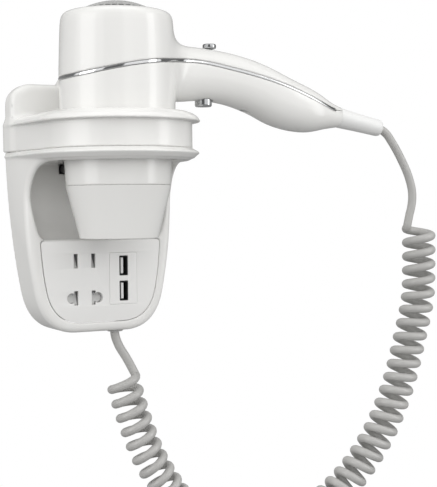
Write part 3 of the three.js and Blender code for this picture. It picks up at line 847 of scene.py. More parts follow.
# ---------------------------------------------------------------- geometry node trees
class Growers:
    """Geometry node trees for what repeats or is wound."""

    def __init__(self, paint: Paint) -> None:
        """Builds the trees.

        Args:
            paint: the finishes that the trees set.
        """
        self.paint = paint
        self.ring = self._ring()
        self.row = self._row()
        self.spots = self._spots()
        self.dome_rings = self._dome_rings()
        self.winding = self._winding()

    @staticmethod
    def _tree(name: str, inputs: Mapping[str, str]) -> bpy.types.NodeTree:
        """Geometry tree with named inputs and a geometry in and out.

        Args:
            name: name of the tree.
            inputs: labels and socket types.

        Returns:
            The tree, with its input and output nodes.
        """
        tree = bpy.data.node_groups.new(name, "GeometryNodeTree")
        tree.interface.new_socket("Geometry", in_out="INPUT", socket_type="NodeSocketGeometry")
        for label, kind in {**inputs, "Material": "NodeSocketMaterial"}.items():
            tree.interface.new_socket(label, in_out="INPUT", socket_type=kind)
        tree.interface.new_socket("Geometry", in_out="OUTPUT", socket_type="NodeSocketGeometry")
        tree.nodes.new("NodeGroupInput").name = "Inputs"
        tree.nodes.new("NodeGroupOutput").name = "Outputs"
        return tree

    @staticmethod
    def _finish(
        tree: bpy.types.NodeTree, geometry: bpy.types.NodeSocket, centre: bool = True,
    ) -> bpy.types.NodeTree:
        """Ends a tree: realizes instances, moves the result to Centre, and sets the material.

        Args:
            tree: the tree.
            geometry: the socket that holds the result.
            centre: whether the tree has a Centre input.

        Returns:
            The same tree.
        """
        given = tree.nodes["Inputs"].outputs
        result = add_node(tree, "GeometryNodeRealizeInstances", {"Geometry": geometry})
        if centre:
            result = add_node(tree, "GeometryNodeTransform", {
                "Geometry": result.outputs["Geometry"], "Translation": given["Centre"]})
        result = add_node(tree, "GeometryNodeSetMaterial", {
            "Geometry": result.outputs["Geometry"], "Material": given["Material"]})
        connect(tree, tree.nodes["Outputs"], {"Geometry": result.outputs["Geometry"]})
        return tree

    @staticmethod
    def _sweep(tree: bpy.types.NodeTree, curve: bpy.types.NodeSocket, caps: bool) -> bpy.types.NodeSocket:
        """Round wire along a curve, as thick as the tree's Wire input.

        Args:
            tree: the tree.
            curve: the socket that holds the curve.
            caps: whether its ends are closed.

        Returns:
            The wire's mesh.
        """
        section = add_node(tree, "GeometryNodeCurvePrimitiveCircle", {
            "Resolution": WIRE_SIDES, "Radius": tree.nodes["Inputs"].outputs["Wire"]})
        return add_node(tree, "GeometryNodeCurveToMesh", {
            "Curve": curve, "Profile Curve": section.outputs["Curve"], "Fill Caps": caps}).outputs["Mesh"]

    def _ring(self) -> bpy.types.NodeTree:
        """Copies of the host's mesh, turned evenly about a vertical axis."""
        tree = self._tree("ring_of_copies", {"Count": WHOLE, "Start Angle": NUMBER, "Centre": VECTOR})
        given = tree.nodes["Inputs"].outputs
        index = add_node(tree, "GeometryNodeInputIndex").outputs["Index"]
        angle = maths(tree, "MULTIPLY", maths(tree, "DIVIDE", index, given["Count"]), 2 * math.pi)
        turn = add_node(tree, "ShaderNodeCombineXYZ", {"Z": maths(tree, "ADD", angle, given["Start Angle"])})
        points = add_node(tree, "GeometryNodePoints", {"Count": given["Count"]})
        copies = add_node(tree, "GeometryNodeInstanceOnPoints", {
            "Points": points.outputs[0], "Instance": given["Geometry"], "Rotation": turn.outputs["Vector"]})
        return self._finish(tree, copies.outputs["Instances"])

    def _row(self) -> bpy.types.NodeTree:
        """Copies of the host's mesh in a straight row."""
        tree = self._tree("row_of_copies", {"Count": WHOLE, "Step": VECTOR, "Centre": VECTOR})
        given = tree.nodes["Inputs"].outputs
        index = add_node(tree, "GeometryNodeInputIndex").outputs["Index"]
        place = add_node(tree, "ShaderNodeVectorMath", {
            "Vector": given["Step"], "Scale": index}, operation="SCALE")
        points = add_node(tree, "GeometryNodePoints", {
            "Count": given["Count"], "Position": place.outputs["Vector"]})
        copies = add_node(tree, "GeometryNodeInstanceOnPoints", {
            "Points": points.outputs[0], "Instance": given["Geometry"]})
        return self._finish(tree, copies.outputs["Instances"])

    def _spots(self) -> bpy.types.NodeTree:
        """Copies of another object on the host's vertices, each turned by a fixed random angle about Y."""
        tree = self._tree("copies_on_spots", {"Unit": "NodeSocketObject", "Seed": WHOLE})
        given = tree.nodes["Inputs"].outputs
        unit = add_node(tree, "GeometryNodeObjectInfo", {"Object": given["Unit"]})
        angle = add_node(tree, "FunctionNodeRandomValue", {
            "Max": math.pi, "Seed": given["Seed"]}, data_type="FLOAT")
        turn = add_node(tree, "ShaderNodeCombineXYZ", {"Y": angle.outputs["Value"]})
        points = add_node(tree, "GeometryNodeMeshToPoints", {"Mesh": given["Geometry"]})
        copies = add_node(tree, "GeometryNodeInstanceOnPoints", {
            "Points": points.outputs["Points"], "Instance": unit.outputs["Geometry"],
            "Rotation": turn.outputs["Vector"]})
        return self._finish(tree, copies.outputs["Instances"], centre=False)

    def _dome_rings(self) -> bpy.types.NodeTree:
        """Round wires one inside another over a shallow dome."""
        sizes = dict.fromkeys(("Inner", "Spacing", "Edge", "Rise", "Wire"), NUMBER)
        tree = self._tree("rings_over_dome", {"Count": WHOLE, **sizes, "Centre": VECTOR})
        given = tree.nodes["Inputs"].outputs
        index = add_node(tree, "GeometryNodeInputIndex").outputs["Index"]
        radius = maths(tree, "ADD", maths(tree, "MULTIPLY", index, given["Spacing"]), given["Inner"])
        share = maths(tree, "DIVIDE", radius, given["Edge"])
        fall = maths(tree, "SUBTRACT", 1.0, maths(tree, "MULTIPLY", share, share))
        place = add_node(tree, "ShaderNodeCombineXYZ", {"Z": maths(tree, "MULTIPLY", fall, given["Rise"])})
        points = add_node(tree, "GeometryNodePoints", {
            "Count": given["Count"], "Position": place.outputs["Vector"]})
        loop = add_node(tree, "GeometryNodeCurvePrimitiveCircle", {"Resolution": 72, "Radius": 1})
        copies = add_node(tree, "GeometryNodeInstanceOnPoints", {
            "Points": points.outputs[0], "Instance": loop.outputs["Curve"], "Scale": radius})
        curves = add_node(tree, "GeometryNodeRealizeInstances", {"Geometry": copies.outputs["Instances"]})
        return self._finish(tree, self._sweep(tree, curves.outputs["Geometry"], caps=False))

    def _winding(self) -> bpy.types.NodeTree:
        """Round wire wound into an upright helix."""
        sizes = dict.fromkeys(("Turns", "Radius", "Height", "Wire"), NUMBER)
        tree = self._tree("wound_wire", {**sizes, "Centre": VECTOR})
        given = tree.nodes["Inputs"].outputs
        spiral = add_node(tree, "GeometryNodeCurveSpiral", {
            "Resolution": 30, "Rotations": given["Turns"], "Start Radius": given["Radius"],
            "End Radius": given["Radius"], "Height": given["Height"]})
        return self._finish(tree, self._sweep(tree, spiral.outputs["Curve"], caps=True))

    def grow(
        self, name: str, tree: bpy.types.NodeTree, finish: str, values: Mapping[str, object],
        unit: bpy.types.Object | None = None,
    ) -> bpy.types.Object:
        """Runs a tree on a host mesh and keeps the result as a plain mesh.

        Args:
            name: name of the new piece.
            tree: one of this class's trees.
            finish: finish of the piece.
            values: values of the tree's inputs, by label.
            unit: object whose mesh the tree repeats or stands on, which is removed.

        Returns:
            The finished object.
        """
        host = unit or new_object(name + "_host", bpy.data.meshes.new(name + "_host"))
        modifier = host.modifiers.new("grow", "NODES")
        modifier.node_group = tree
        settings = {**values, "Material": self.paint.materials[finish]}
        for item in tree.interface.items_tree:
            if item.in_out == "INPUT" and item.name in settings:
                modifier[item.identifier] = settings[item.name]
        mesh = evaluated(host, name)
        shade(mesh, 35)
        return self.paint.dress(new_object(name, mesh), finish)


def metres(x: float, out: float, z: float) -> tuple[float, float, float]:
    """Place in metres from x, distance out of the wall and height in millimetres."""
    return (x * MM, -out * MM, z * MM)


# ---------------------------------------------------------------- holder
@dataclass
class Holder:
    """Wall holder: collar moulding, base moulding, socket panel and what sits behind it."""

    paint: Paint
    grow: Growers
    grid: float = 0.9
    top: float = 86
    bottom: float = -84
    half_top: float = 58.5
    back: float = 2.3
    front: float = 36.5
    upper_front: float = 19
    collar_radius: float = 49
    lean: float = math.radians(7.07)
    bore: float = 41
    lower_bore: float = 38.5
    seat: float = 41
    seam: tuple[float, float] = (39.49, 39.54)
    recess_back: float = 12
    ledge: float = -20.7
    roof: float = 32
    wall: float = 3
    panel_out: tuple[float, float] = (33.9, 36.4)
    outlet_x: float = -12.4
    outlet_rows: tuple[float, float] = (-35, -60.3)
    ear_half: float = 9.5
    usb_x: float = 16.1
    usb_rows: tuple[float, float] = (-39, -56.4)
    usb_size: tuple[float, float] = (5.7, 13.1)
    plate_screws: tuple = ((-42, 50), (42, 50), (-38, -26), (38, -26))
    wall_screws: tuple = ((-28, 66), (28, 66), (0, -70))

    def shield(self, inset: float = 0) -> list:
        """Outline of the holder seen from the front, moved inwards by inset."""
        corner = 17 - inset / 2
        half, top, bottom = self.half_top - inset, self.top - inset, self.bottom + inset
        right = arc((half - corner, top - corner), corner, 90, 0)
        right += bezier(right[-1], (56.1 - inset, -10.4), (46.8 - inset, -57))
        right += bezier(right[-1], (43.4 - inset, -74 + inset), (34 - inset, bottom), (18, bottom))
        return mirrored(right)

    def panel(self, grow: float = 0) -> list:
        """Outline of the socket panel, moved outwards by grow."""
        top, bottom = -21 + grow, -77 - grow
        right = [(40.4, top)]
        right += bezier(right[-1], (43.4 + grow, top), (43.2 + grow, top - 3), steps=8)
        right += bezier(right[-1], (42 + grow, -44), (39 + grow, -57))
        right += bezier(right[-1], (36 + grow, -70), (28 + grow, bottom), (15, bottom))
        return mirrored(right)

    def wrap(self, x: Array, out: Array) -> Array:
        """Distance to the U that the collar makes round the barrel and back to the wall."""
        across, ahead = np.abs(x), out - AXIS_OUT
        side = across * math.cos(self.lean) + ahead * math.sin(self.lean)
        round_front = ahead * math.cos(self.lean) > across * math.sin(self.lean)
        return np.where(round_front, np.hypot(across, ahead), side) - self.collar_radius

    def lip(self, x: Array, out: Array, z: Array, profile: Outline, reach: float) -> Array:
        """Lip round the collar that runs out to nothing at the wall.

        Args:
            x: X of the places.
            out: distances from the wall.
            z: heights.
            profile: section of the lip, as distance from the collar's face and height.
            reach: how far the lip stands out in front.

        Returns:
            The distance at each place.
        """
        share = np.clip((out - self.back) / (AXIS_OUT - self.back), 0, 1)
        return profile.distance(self.wrap(x, out) + reach * (1 - share), z)

    @staticmethod
    def pin_holes(x: Array, out: Array, z: Array, places: Pairs, radius: float, depth: float) -> Array:
        """Distance to blind holes that go in from the wall side.

        Args:
            x: X of the places to measure.
            out: distances from the wall.
            z: heights.
            places: (x, z) of the holes.
            radius: their radius.
            depth: how far from the wall they end.

        Returns:
            The distance at each place.
        """
        nearest = np.minimum.reduce([np.hypot(x - px, z - pz) - radius for px, pz in places])
        return np.maximum(nearest, out - depth)

    def collar_form(self, x: Array, y: Array, z: Array) -> Array:
        """Collar moulding: wall, top lip, rear plate with its hump, bore and fixings."""
        out = -y
        wrap = self.wrap(x, out)
        barrel = np.hypot(x, out - AXIS_OUT)
        wall = np.maximum(wrap, between(z, self.seam[1], 57.5))
        profile = Outline([
            (-10, 57.4), (3.6, 57.0), *arc((4.5, 57.7), 0.7, -80, 40, 8), (3.5, 60.4), (0.8, 62.2),
            (-3, 63.6), (-10, 64)])
        body = union(wall, self.lip(x, out, z, profile, 5), 0.35)
        outline = both(Outline(self.shield()).distance(x, z), wrap - 0.5, 2)
        rear = both(outline, between(out, self.back, self.upper_front), 6)
        rear = np.maximum(rear, self.seam[1] - z)
        arch = Outline([(-25, 78), (25, 78), *bezier((25, 78), (19, 97), (7, 97), steps=14),
                        *bezier((-7, 97), (-19, 97), (-25, 78), steps=14)])
        hump = both(arch.distance(x, z), between(out, self.back, 17), 5)
        body = union(union(rear, hump, 2), body, 4)
        body = both(body, self.seam[1] - z, 0.15)
        body = both(body, self.back - out, 0.7)
        inner = Outline(self.shield(self.wall)).distance(x, z)
        hollow = np.maximum(inner, between(out, 0, self.upper_front - self.wall))
        hollow = np.maximum(hollow, between(z, self.seam[1] + 3, self.top))
        body = without(body, hollow, 0.8)
        posts = -self.pin_holes(x, out, z, self.plate_screws[:2], 3.8, self.upper_front)
        body = union(body, np.maximum(-posts, self.back - out), 0.8)
        body = without(body, self.pin_holes(x, out, z, self.plate_screws[:2], 1.9, 13), 0.5)
        bore = np.maximum(barrel - self.bore, self.seat - z)
        bore = np.minimum(bore, barrel - self.lower_bore)
        mouth = barrel - self.bore - np.clip(z - 61.5, 0, 3)
        bore = np.minimum(bore, np.maximum(mouth, 61 - z))
        return without(body, bore, 1.4)

    def side_profile(self) -> Outline:
        """Side view of the base: the box front, and the cheeks that sweep out under the collar."""
        reach, start, rise = 30, 4, 27
        sweep = [
            (self.front + reach * (1 - math.cos(a)), start + rise * math.sin(a))
            for a in np.linspace(0, math.pi / 2, 22)
        ]
        return Outline([(-20, -110), (self.front, -110), *sweep, (150, self.roof), (150, 60), (-20, 60)])

    def recess_profile(self) -> Outline:
        """Side view of the recess: its back wall curves forward into the ledge over the panel."""
        reach, rise = self.front - self.recess_back, 23
        sweep = [
            (self.recess_back + reach * (1 - math.cos(a)), self.ledge + rise * (1 - math.sin(a)))
            for a in np.linspace(0, math.pi / 2, 22)
        ]
        return Outline([(150, self.roof), (self.recess_back, self.roof), *sweep, (150, self.ledge)])

    def base_form(self, x: Array, y: Array, z: Array) -> Array:
        """Base moulding: socket box, cheeks, recess, bottom lip, and its hollow back."""
        out = -y
        wrap = self.wrap(x, out)
        barrel = np.hypot(x, out - AXIS_OUT)
        around = both(Outline(self.shield()).distance(x, z), wrap, 3)
        body = both(around, self.side_profile().distance(out, z), 5.5)
        profile = Outline([(-10, self.roof), (-3, self.roof), (1.2, 33.4), (3.7, 35.6),
                           *arc((3.6, 36.6), 0.9, -30, 60, 6), (0.2, self.seam[0]), (-10, self.seam[0])])
        body = union(body, self.lip(x, out, z, profile, 4.5), 0.9)
        body = both(body, z - self.seam[0], 0.15)
        body = both(body, self.back - out, 0.7)
        narrowing = 7 * np.clip(1 - (z - self.ledge) / 38, 0, 1.2) ** 2
        recess = both(self.recess_profile().distance(out, z), (wrap + 3.8 + narrowing) * 0.95, 5.5)
        body = without(body, recess, 2.6)
        inner = Outline(self.shield(self.wall)).distance(x, z)
        box_hollow = np.maximum(inner, np.maximum(out - self.panel_out[0] + 0.1, z - self.ledge + self.wall))
        wall_hollow = np.maximum(np.maximum(inner, np.abs(x) - 52), out - self.recess_back + 2.5)
        wall_hollow = np.maximum(wall_hollow, between(z, self.ledge - 5, self.roof - 3))
        body = without(body, np.minimum(box_hollow, wall_hollow), 0.8)
        posts = self.pin_holes(x, out, z, self.plate_screws[2:], 3.8, self.panel_out[0] - 1)
        body = union(body, np.maximum(posts, self.back - out), 0.8)
        body = without(body, self.pin_holes(x, out, z, self.plate_screws[2:], 1.9, 13), 0.5)
        pocket = np.maximum(Outline(self.panel(0.4)).distance(x, z), self.front - 4 - out)
        body = without(body, pocket, 0.7)
        slot_side = np.maximum(between(out, 5, 14), between(z, 24.8, 31.4))
        lever_slot = np.maximum(between(x, -21, -16.4), slot_side)
        cord_hole = np.maximum(np.hypot(x - 13, out - 26) - 5, between(z, -90, -78))
        cuts = np.minimum(np.minimum(lever_slot, cord_hole), np.maximum(barrel - self.lower_bore, 20 - z))
        return without(body, cuts, 1.0)

    def mouldings(self) -> None:
        """Builds the two white mouldings."""
        collar = moulded("collar_moulding", self.collar_form, (-60, 2, 39), (60, 124, 98), self.grid)
        settle_piece(self.paint.dress(collar, "gloss_white"), Body.HOLDER, "holder_collar")
        base = moulded("base_moulding", self.base_form, (-60, 2, -85), (60, 124, 40), self.grid)
        settle_piece(self.paint.dress(base, "gloss_white"), Body.HOLDER, "holder_base")

    def pin_opening(self, side: int) -> list:
        """Opening for a flat or a round pin: a flat slot with a half-round ear on its outer side."""
        row = self.outlet_rows[1]
        slot, ear = self.outlet_x + side * PIN_HALF, self.outlet_x + side * self.ear_half
        inner = slot - side * 1.5
        meet = slot + side * 1.5
        rise = math.degrees(math.acos(abs(ear - meet) / 3.5))
        ear_arc = arc((ear, row), 3.5, 180 - rise, -180 + rise, 24)
        points = [(inner, row + 4.8), (slot + 1.5 * side, row + 4.8)]
        points += [(ear + side * (u - ear), v) for u, v in ear_arc]
        return points + [(meet, row - 4.8), (inner, row - 4.8)]

    def shutter_form(self, x: Array, y: Array, z: Array) -> Array:
        """Safety shutters: a sloping tongue in each opening, deeper at the top than at the bottom."""
        form = np.full_like(x, 1e3)
        half = 4.6
        for row, depth, lean in zip(self.outlet_rows, (1.8, 2.2), (0.55, 0.35)):
            slope = self.panel_out[1] - depth - lean * (z - row + half)
            plane = np.maximum(-y - slope, slope - 1.2 + y) * 0.95
            for side in (-1, 1):
                slot = self.outlet_x + side * PIN_HALF
                across = between(x, slot - 1.35, slot + 1.35)
                if row == self.outlet_rows[1]:
                    ear = np.hypot(x - self.outlet_x - side * self.ear_half, z - row) - 3.35
                    across = np.minimum(across, ear)
                form = np.minimum(form, np.maximum(plane, np.maximum(across, np.abs(z - row) - half)))
        return form

    def socket(self) -> None:
        """Builds the socket panel, the raised frame round the charging ports, and the ports."""
        insert = rounded_rectangle(self.usb_x - 0.4, -47.8, 20, 35.6, 1)
        places = [self.outlet_x + side * PIN_HALF for side in (-1, 1)]
        holes = [rounded_rectangle(place, self.outlet_rows[0], 3, 9.6, 0.3) for place in places]
        holes += [self.pin_opening(side) for side in (-1, 1)]
        pocket = rounded_rectangle(self.usb_x - 0.4, -47.8, 20.16, 35.76, 1.05)
        panel = plate("socket_plate", self.panel(), [*holes, pocket], self.panel_out, 0.35)
        ports = [rounded_rectangle(self.usb_x, row, 6.4, 13.8, 0.3) for row in self.usb_rows]
        frame = plate("port_frame", insert, ports, (self.panel_out[0], self.panel_out[1] + 0.06), 0.12)
        settle_piece(self.paint.dress(panel, "panel_white"), Body.HOLDER, "socket_panel")
        settle_piece(self.paint.dress(frame, "panel_white"), Body.HOLDER)
        face = self.panel_out[1]
        low, high = (self.outlet_x - 14, face - 10, -67), (self.outlet_x + 14, face + 1, -27)
        shutters = moulded("pin_shutters", self.shutter_form, low, high, 0.4)
        settle_piece(self.paint.dress(shutters, "soft_grey"), Body.HOLDER)
        width, height = self.usb_size
        outer = rounded_rectangle(self.usb_x, 0, width, height, 0.4)
        hole = rounded_rectangle(self.usb_x, 0, width - 0.7, height - 0.7, 0.25)
        pitch = {"Count": 2, "Step": (0, 0, (self.usb_rows[1] - self.usb_rows[0]) * MM),
                 "Centre": (0, 0, self.usb_rows[0] * MM)}
        shell = plate("port_shell", outer, [hole], (21, 36.2), 0.08)
        shells = self.grow.grow("port_shells", self.grow.row, "black_plastic", pitch, shell)
        settle_piece(shells, Body.HOLDER, "usb_shell_1", "usb_shell_2")
        tongue = plate("tongue", rounded_rectangle(self.usb_x - 0.75, 0, 1.9, 11, 0.2), [], (22.8, 35), 0.15)
        tongues = self.grow.grow("port_tongues", self.grow.row, "port_white", pitch, tongue)
        settle_piece(tongues, Body.HOLDER, "usb_tongue_1", "usb_tongue_2")
        outline = rounded_rectangle(self.usb_x + 0.35, 0, 0.18, 1.1, 0.05)
        pin = plate("port_pin", outline, [], (23.5, 34.2), 0.03)
        pins = {"Count": 4, "Step": (0, 0, 2.5 * MM), "Centre": (0, 0, -3.75 * MM)}
        row_of_pins = self.grow.grow("port_pin_row", self.grow.row, "brass", pins, pin)
        all_pins = self.grow.grow("port_pins", self.grow.row, "brass", pitch, row_of_pins)
        settle_piece(all_pins, Body.HOLDER)

    def wall_side(self) -> None:
        """Builds the wall plate, and the screws seen from behind."""
        holes = [circle(x, z, 2.4) for x, z in self.wall_screws]
        holes += [circle(x, z, 3.4) for x, z in self.plate_screws]
        holes.append(circle(0, 30, 9, 60))
        rear = plate("wall_bracket", self.shield(6), holes, (0.02, 2), 0.3)
        settle_piece(self.paint.dress(rear, "grey_plastic"), Body.HOLDER, "wall_plate")
        unit = self.screw_unit()
        places = [(*metres(x, 0, z),) for x, z in (*self.plate_screws, *self.wall_screws)]
        spots = bpy.data.meshes.new("screw_spots")
        spots.from_pydata(places, [], [])
        screws = self.grow.grow("holder_screws", self.grow.spots, "steel", {"Unit": unit, "Seed": 7},
                                new_object("screw_spots", spots))
        bpy.data.objects.remove(unit)
        nodes = [f"plate_screw_{i}" for i in range(1, 5)] + [f"wall_screw_{i}" for i in range(1, 4)]
        settle_piece(screws, Body.HOLDER, *nodes)

    @staticmethod
    def screw_unit() -> bpy.types.Object:
        """One cross-headed screw, its head at the wall side and its shank pointing out of the wall."""

        def form(x: Array, y: Array, z: Array) -> Array:
            """Domed head with a cross recess on a plain shank."""
            out = -y
            radius = np.hypot(x, z)
            head = both(radius - 2.9, between(out, 0.35, 2.1), 0.8)
            shank = both(radius - 1.5, between(out, 1, 11), 0.4)
            arms = np.minimum(rounded_box(x, out, z, (-2, 0, -0.35), (2, 1.2, 0.35), 0.1),
                              rounded_box(x, out, z, (-0.35, 0, -2), (0.35, 1.2, 2), 0.1))
            return without(union(head, shank, 0.4), arms, 0.15)

        return moulded("screw_unit", form, (-3, 0.3, -3), (3, 11.2, 3), 0.3)

    def small_parts(self) -> None:
        """Builds the seat ring, the grommet and the cut-off lever, and dresses the hidden parts."""
        seat = turned("seat_ring", [
            (36.9, 41.4), (40.4, 41.4), (40.6, 41.7), (40.6, 49.6), (40.2, 50), (38.6, 50), (38.2, 49.6),
            (37.9, 47.5)])
        settle_piece(self.paint.dress(seat, "soft_grey"), Body.HOLDER, "collar_liner")
        grommet = turned("cord_gland", [
            (3.3, -85.2), (4.9, -85.2), (5.4, -85), (5.8, -84.5), (5.7, -84.4), (4.6, -84.4), (4.6, -80.6),
            (6.6, -80.6), (6.6, -79.8), (6.2, -79.4), (3.3, -79.4)], (13, 26, 0), sides=48)
        settle_piece(self.paint.dress(grommet, "soft_grey"), Body.HOLDER, "cord_grommet")

        def lever_form(x: Array, y: Array, z: Array) -> Array:
            """Bar with round edges, hollowed where the nose rests against it."""
            bar = rounded_box(x, -y, z, (-20.4, 6.2, 25.4), (-17, 44, 30.8), 1.4)
            return without(bar, np.hypot(x, y + AXIS_OUT) - 35.9, 0.8)

        lever = moulded("cut_off_lever", lever_form, (-20.4, 6, 25.4), (-17, 42, 30.8), 0.4)
        settle_piece(self.paint.dress(lever, "black_plastic"), Body.LEVER, "park_lever")
        self.paint.dress_nodes("port_white", "socket_carrier")
        self.paint.dress_nodes("steel", "contact_left", "contact_right")
        self.paint.dress_nodes("board", "usb_board")
        self.paint.dress_nodes("black_plastic", "usb_transformer", "park_switch")
        self.paint.dress_nodes("grey_plastic", "terminal_block")


# ---------------------------------------------------------------- handset
@dataclass
class Handset:
    """Barrel and handle in two shells with a trim band between them, and everything inside."""

    paint: Paint
    grow: Growers
    grid: float = 0.85
    wall: float = 2.2
    outlet_end: float = 15.6
    strip_half: float = 0.95
    strip_clear: float = 1.15
    strip_end: float = 162.5
    boss_places: tuple[float, float] = (95.0, 134.0)
    trigger_x: float = 63
    knob_x: float = 68
    grille_radius: float = 24.6
    grille_edge: float = 129.4
    grille_rise: float = 6.5
    tail_start: tuple[float, float] = (169.8, 64.6)
    tail_end: tuple[float, float] = (207.6, 57.2)
    top_line: SmoothCurve = SmoothCurve([
        (20, 109.4), (44, 109.6), (51, 109.3), (66, 108.2), (84, 105.8), (108, 99.6), (128, 91.3),
        (148.5, 82.8), (165, 74.2), (171, 72)])
    bottom_line: SmoothCurve = SmoothCurve([
        (20, 71.5), (48, 72.3), (57, 73), (71, 72.4), (84, 70), (99.5, 64.9), (115.4, 57.9), (131.7, 54),
        (144, 53.2), (160.9, 56), (171, 57.4)])
    half_line: SmoothCurve = SmoothCurve([
        (20, 19), (44, 16.5), (60, 15), (100, 15.5), (130, 16.8), (150, 15), (164, 10.5), (171, 8)])
    split: SmoothCurve = SmoothCurve([
        (-45, 84), (-33, 86.1), (-10, 90.8), (7, 93.7), (25, 96), (40, 97.8), (55, 97.7), (78, 94.3),
        (101, 89.5), (125, 82.7), (141, 76.6), (153.5, 71.7), (161, 69.4), (175, 68.4)])
    barrel: Outline = Outline([
        (-40, -10), (34.1, -10), (34.7, 15.6), (35.6, 33), (36, 40), (37.3, 47), (37.9, 56), (38.1, 68),
        (38.4, 80), (38.3, 92), (37.9, 105), (37.5, 115), (37.2, 120.5), (36.8, 124), (36.2, 126),
        (35.2, 127.4), (33.8, 128.4), (32, 129), (29, 129.45), (25.5, 129.7), (-40, 129.7)])

    def body_field(self, x: Array, y: Array, z: Array) -> Array:
        """Outer surface of barrel and handle, without the openings."""
        side = y + AXIS_OUT
        barrel = self.barrel.distance(np.hypot(x, side), z)
        top, bottom, half = self.top_line(x), self.bottom_line(x), self.half_line(x)
        rise, middle = (top - bottom) / 2, (top + bottom) / 2
        power = 2 / 0.86
        spread = (np.abs(side / half) ** power + np.abs((z - middle) / rise) ** power) ** (1 / power)
        reach = np.hypot(side, z - middle)
        handle = reach * (1 - 1 / np.maximum(spread, 1e-3))
        handle = np.where(spread < 0.3, -0.7 * half, handle)
        along, _ = self.tail_coordinates(x, y, z)
        handle = both(handle, along - 1.2, 1.2)
        handle = np.maximum(handle, -x)
        fillet = 4 + 9 * np.clip((z - 80) / 20, 0, 1)
        return union(barrel, handle, fillet)

    def shell_field(self, x: Array, y: Array, z: Array) -> Array:
        """Wall of the two shells together, with the openings at both ends."""
        outer = self.body_field(x, y, z)
        radius = np.hypot(x, y + AXIS_OUT)
        shell = both(outer, self.outlet_end - 0.03 - z, 0.15)
        shell = without(shell, outer + self.wall, 0.8)
        inlet = np.maximum(radius - self.grille_radius - 0.3, self.grille_edge - 2 - z)
        inlet = np.minimum(inlet, np.maximum(radius - 20, 120 - z))
        shell = without(shell, inlet, 0.7)
        along, across = self.tail_coordinates(x, y, z)
        return without(shell, np.maximum(across - 5, between(along, -14, 8)), 0.6)

    def tail_coordinates(self, x: Array, y: Array, z: Array) -> tuple[Array, Array]:
        """Distance along the tail's axis from its start, and distance from that axis."""
        direction = self.tail_direction()
        dx, dz = x - self.tail_start[0], z - self.tail_start[1]
        along = dx * direction[0] + dz * direction[2]
        offset = dx * direction[2] - dz * direction[0]
        return along, np.hypot(offset, y + AXIS_OUT)

    def tail_direction(self) -> Array:
        """Unit vector along the tail, away from the barrel."""
        way = np.array([self.tail_end[0] - self.tail_start[0], 0, self.tail_end[1] - self.tail_start[1]])
        return way / np.linalg.norm(way)

    def clear(self, x: Array) -> Array:
        """Half the gap between the shells: room for the trim, and a hairline past the trim's end."""
        return self.strip_clear - (self.strip_clear - 0.12) * np.clip((x - self.strip_end - 0.5) / 1.5, 0, 1)

    def upper_form(self, x: Array, y: Array, z: Array) -> Array:
        """Upper shell, with the slot of the slide switch."""
        over = (z - self.split(x)) * 0.97
        shell = both(self.shell_field(x, y, z), self.clear(x) - over, 0.35)
        slot = np.maximum(between(x, 65, 77.3), np.maximum(np.abs(y + AXIS_OUT) - 1.8, between(z, 100, 115)))
        return without(shell, slot, 0.4)

    def lower_form(self, x: Array, y: Array, z: Array) -> Array:
        """Lower shell, with the trigger's hole and the two screw bosses."""
        over = (z - self.split(x)) * 0.97
        shell = self.shell_field(x, y, z)
        outer = self.body_field(x, y, z)
        for place in self.boss_places:
            post = np.hypot(x - place, y + AXIS_OUT)
            shell = union(shell, np.maximum(post - 3.8, outer + 0.5), 0.6)
            head_room = np.maximum(post - 3.1, z - self.bottom_line(place) - 2)
            shell = without(shell, np.minimum(post - 1.9, head_room), 0.5)
        shell = both(shell, over + self.clear(x), 0.35)
        opening = np.maximum(np.hypot(x - self.trigger_x, y + AXIS_OUT) - 6.15, between(z, 60, 80))
        return without(shell, opening, 0.6)

    def shells(self) -> None:
        """Builds the two shells."""
        upper = moulded("upper_housing", self.upper_form, (-39, 29.5, 68), (172, 107.5, 134), self.grid)
        settle_piece(self.paint.dress(upper, "handset_white"), Body.HANDSET, "upper_shell")
        lower = moulded("lower_housing", self.lower_form, (-39, 29.5, 15), (172, 107.5, 98), self.grid)
        settle_piece(self.paint.dress(lower, "handset_white"), Body.HANDSET, "lower_shell")

    def split_edge(self, count: int = 260) -> Array:
        """Line where the outer surface meets the split, from one side of the tail round to the other.

        Args:
            count: number of points along one side.

        Returns:
            The points of the line.
        """
        outside, start, end = -45.0, -30.0, self.strip_end
        for _ in range(40):
            middle = (outside + start) / 2
            if self.body_field(np.array(middle), np.array(-AXIS_OUT), self.split(np.array(middle))) < 0:
                start = middle
            else:
                outside = middle
        share = (1 - np.cos(np.linspace(0, math.pi, count))) / 2
        x = start + (end - start) * share
        z = self.split(x)
        low, high = np.zeros_like(x), np.full_like(x, 45.0)
        for _ in range(30):
            middle = (low + high) / 2
            inside = self.body_field(x, middle - AXIS_OUT, z) < 0
            low, high = np.where(inside, middle, low), np.where(inside, high, middle)
        far = np.stack([x, low - AXIS_OUT, z], axis=1)
        near = np.stack([x, -low - AXIS_OUT, z], axis=1)
        return np.concatenate([far[::-1], near[1:]])

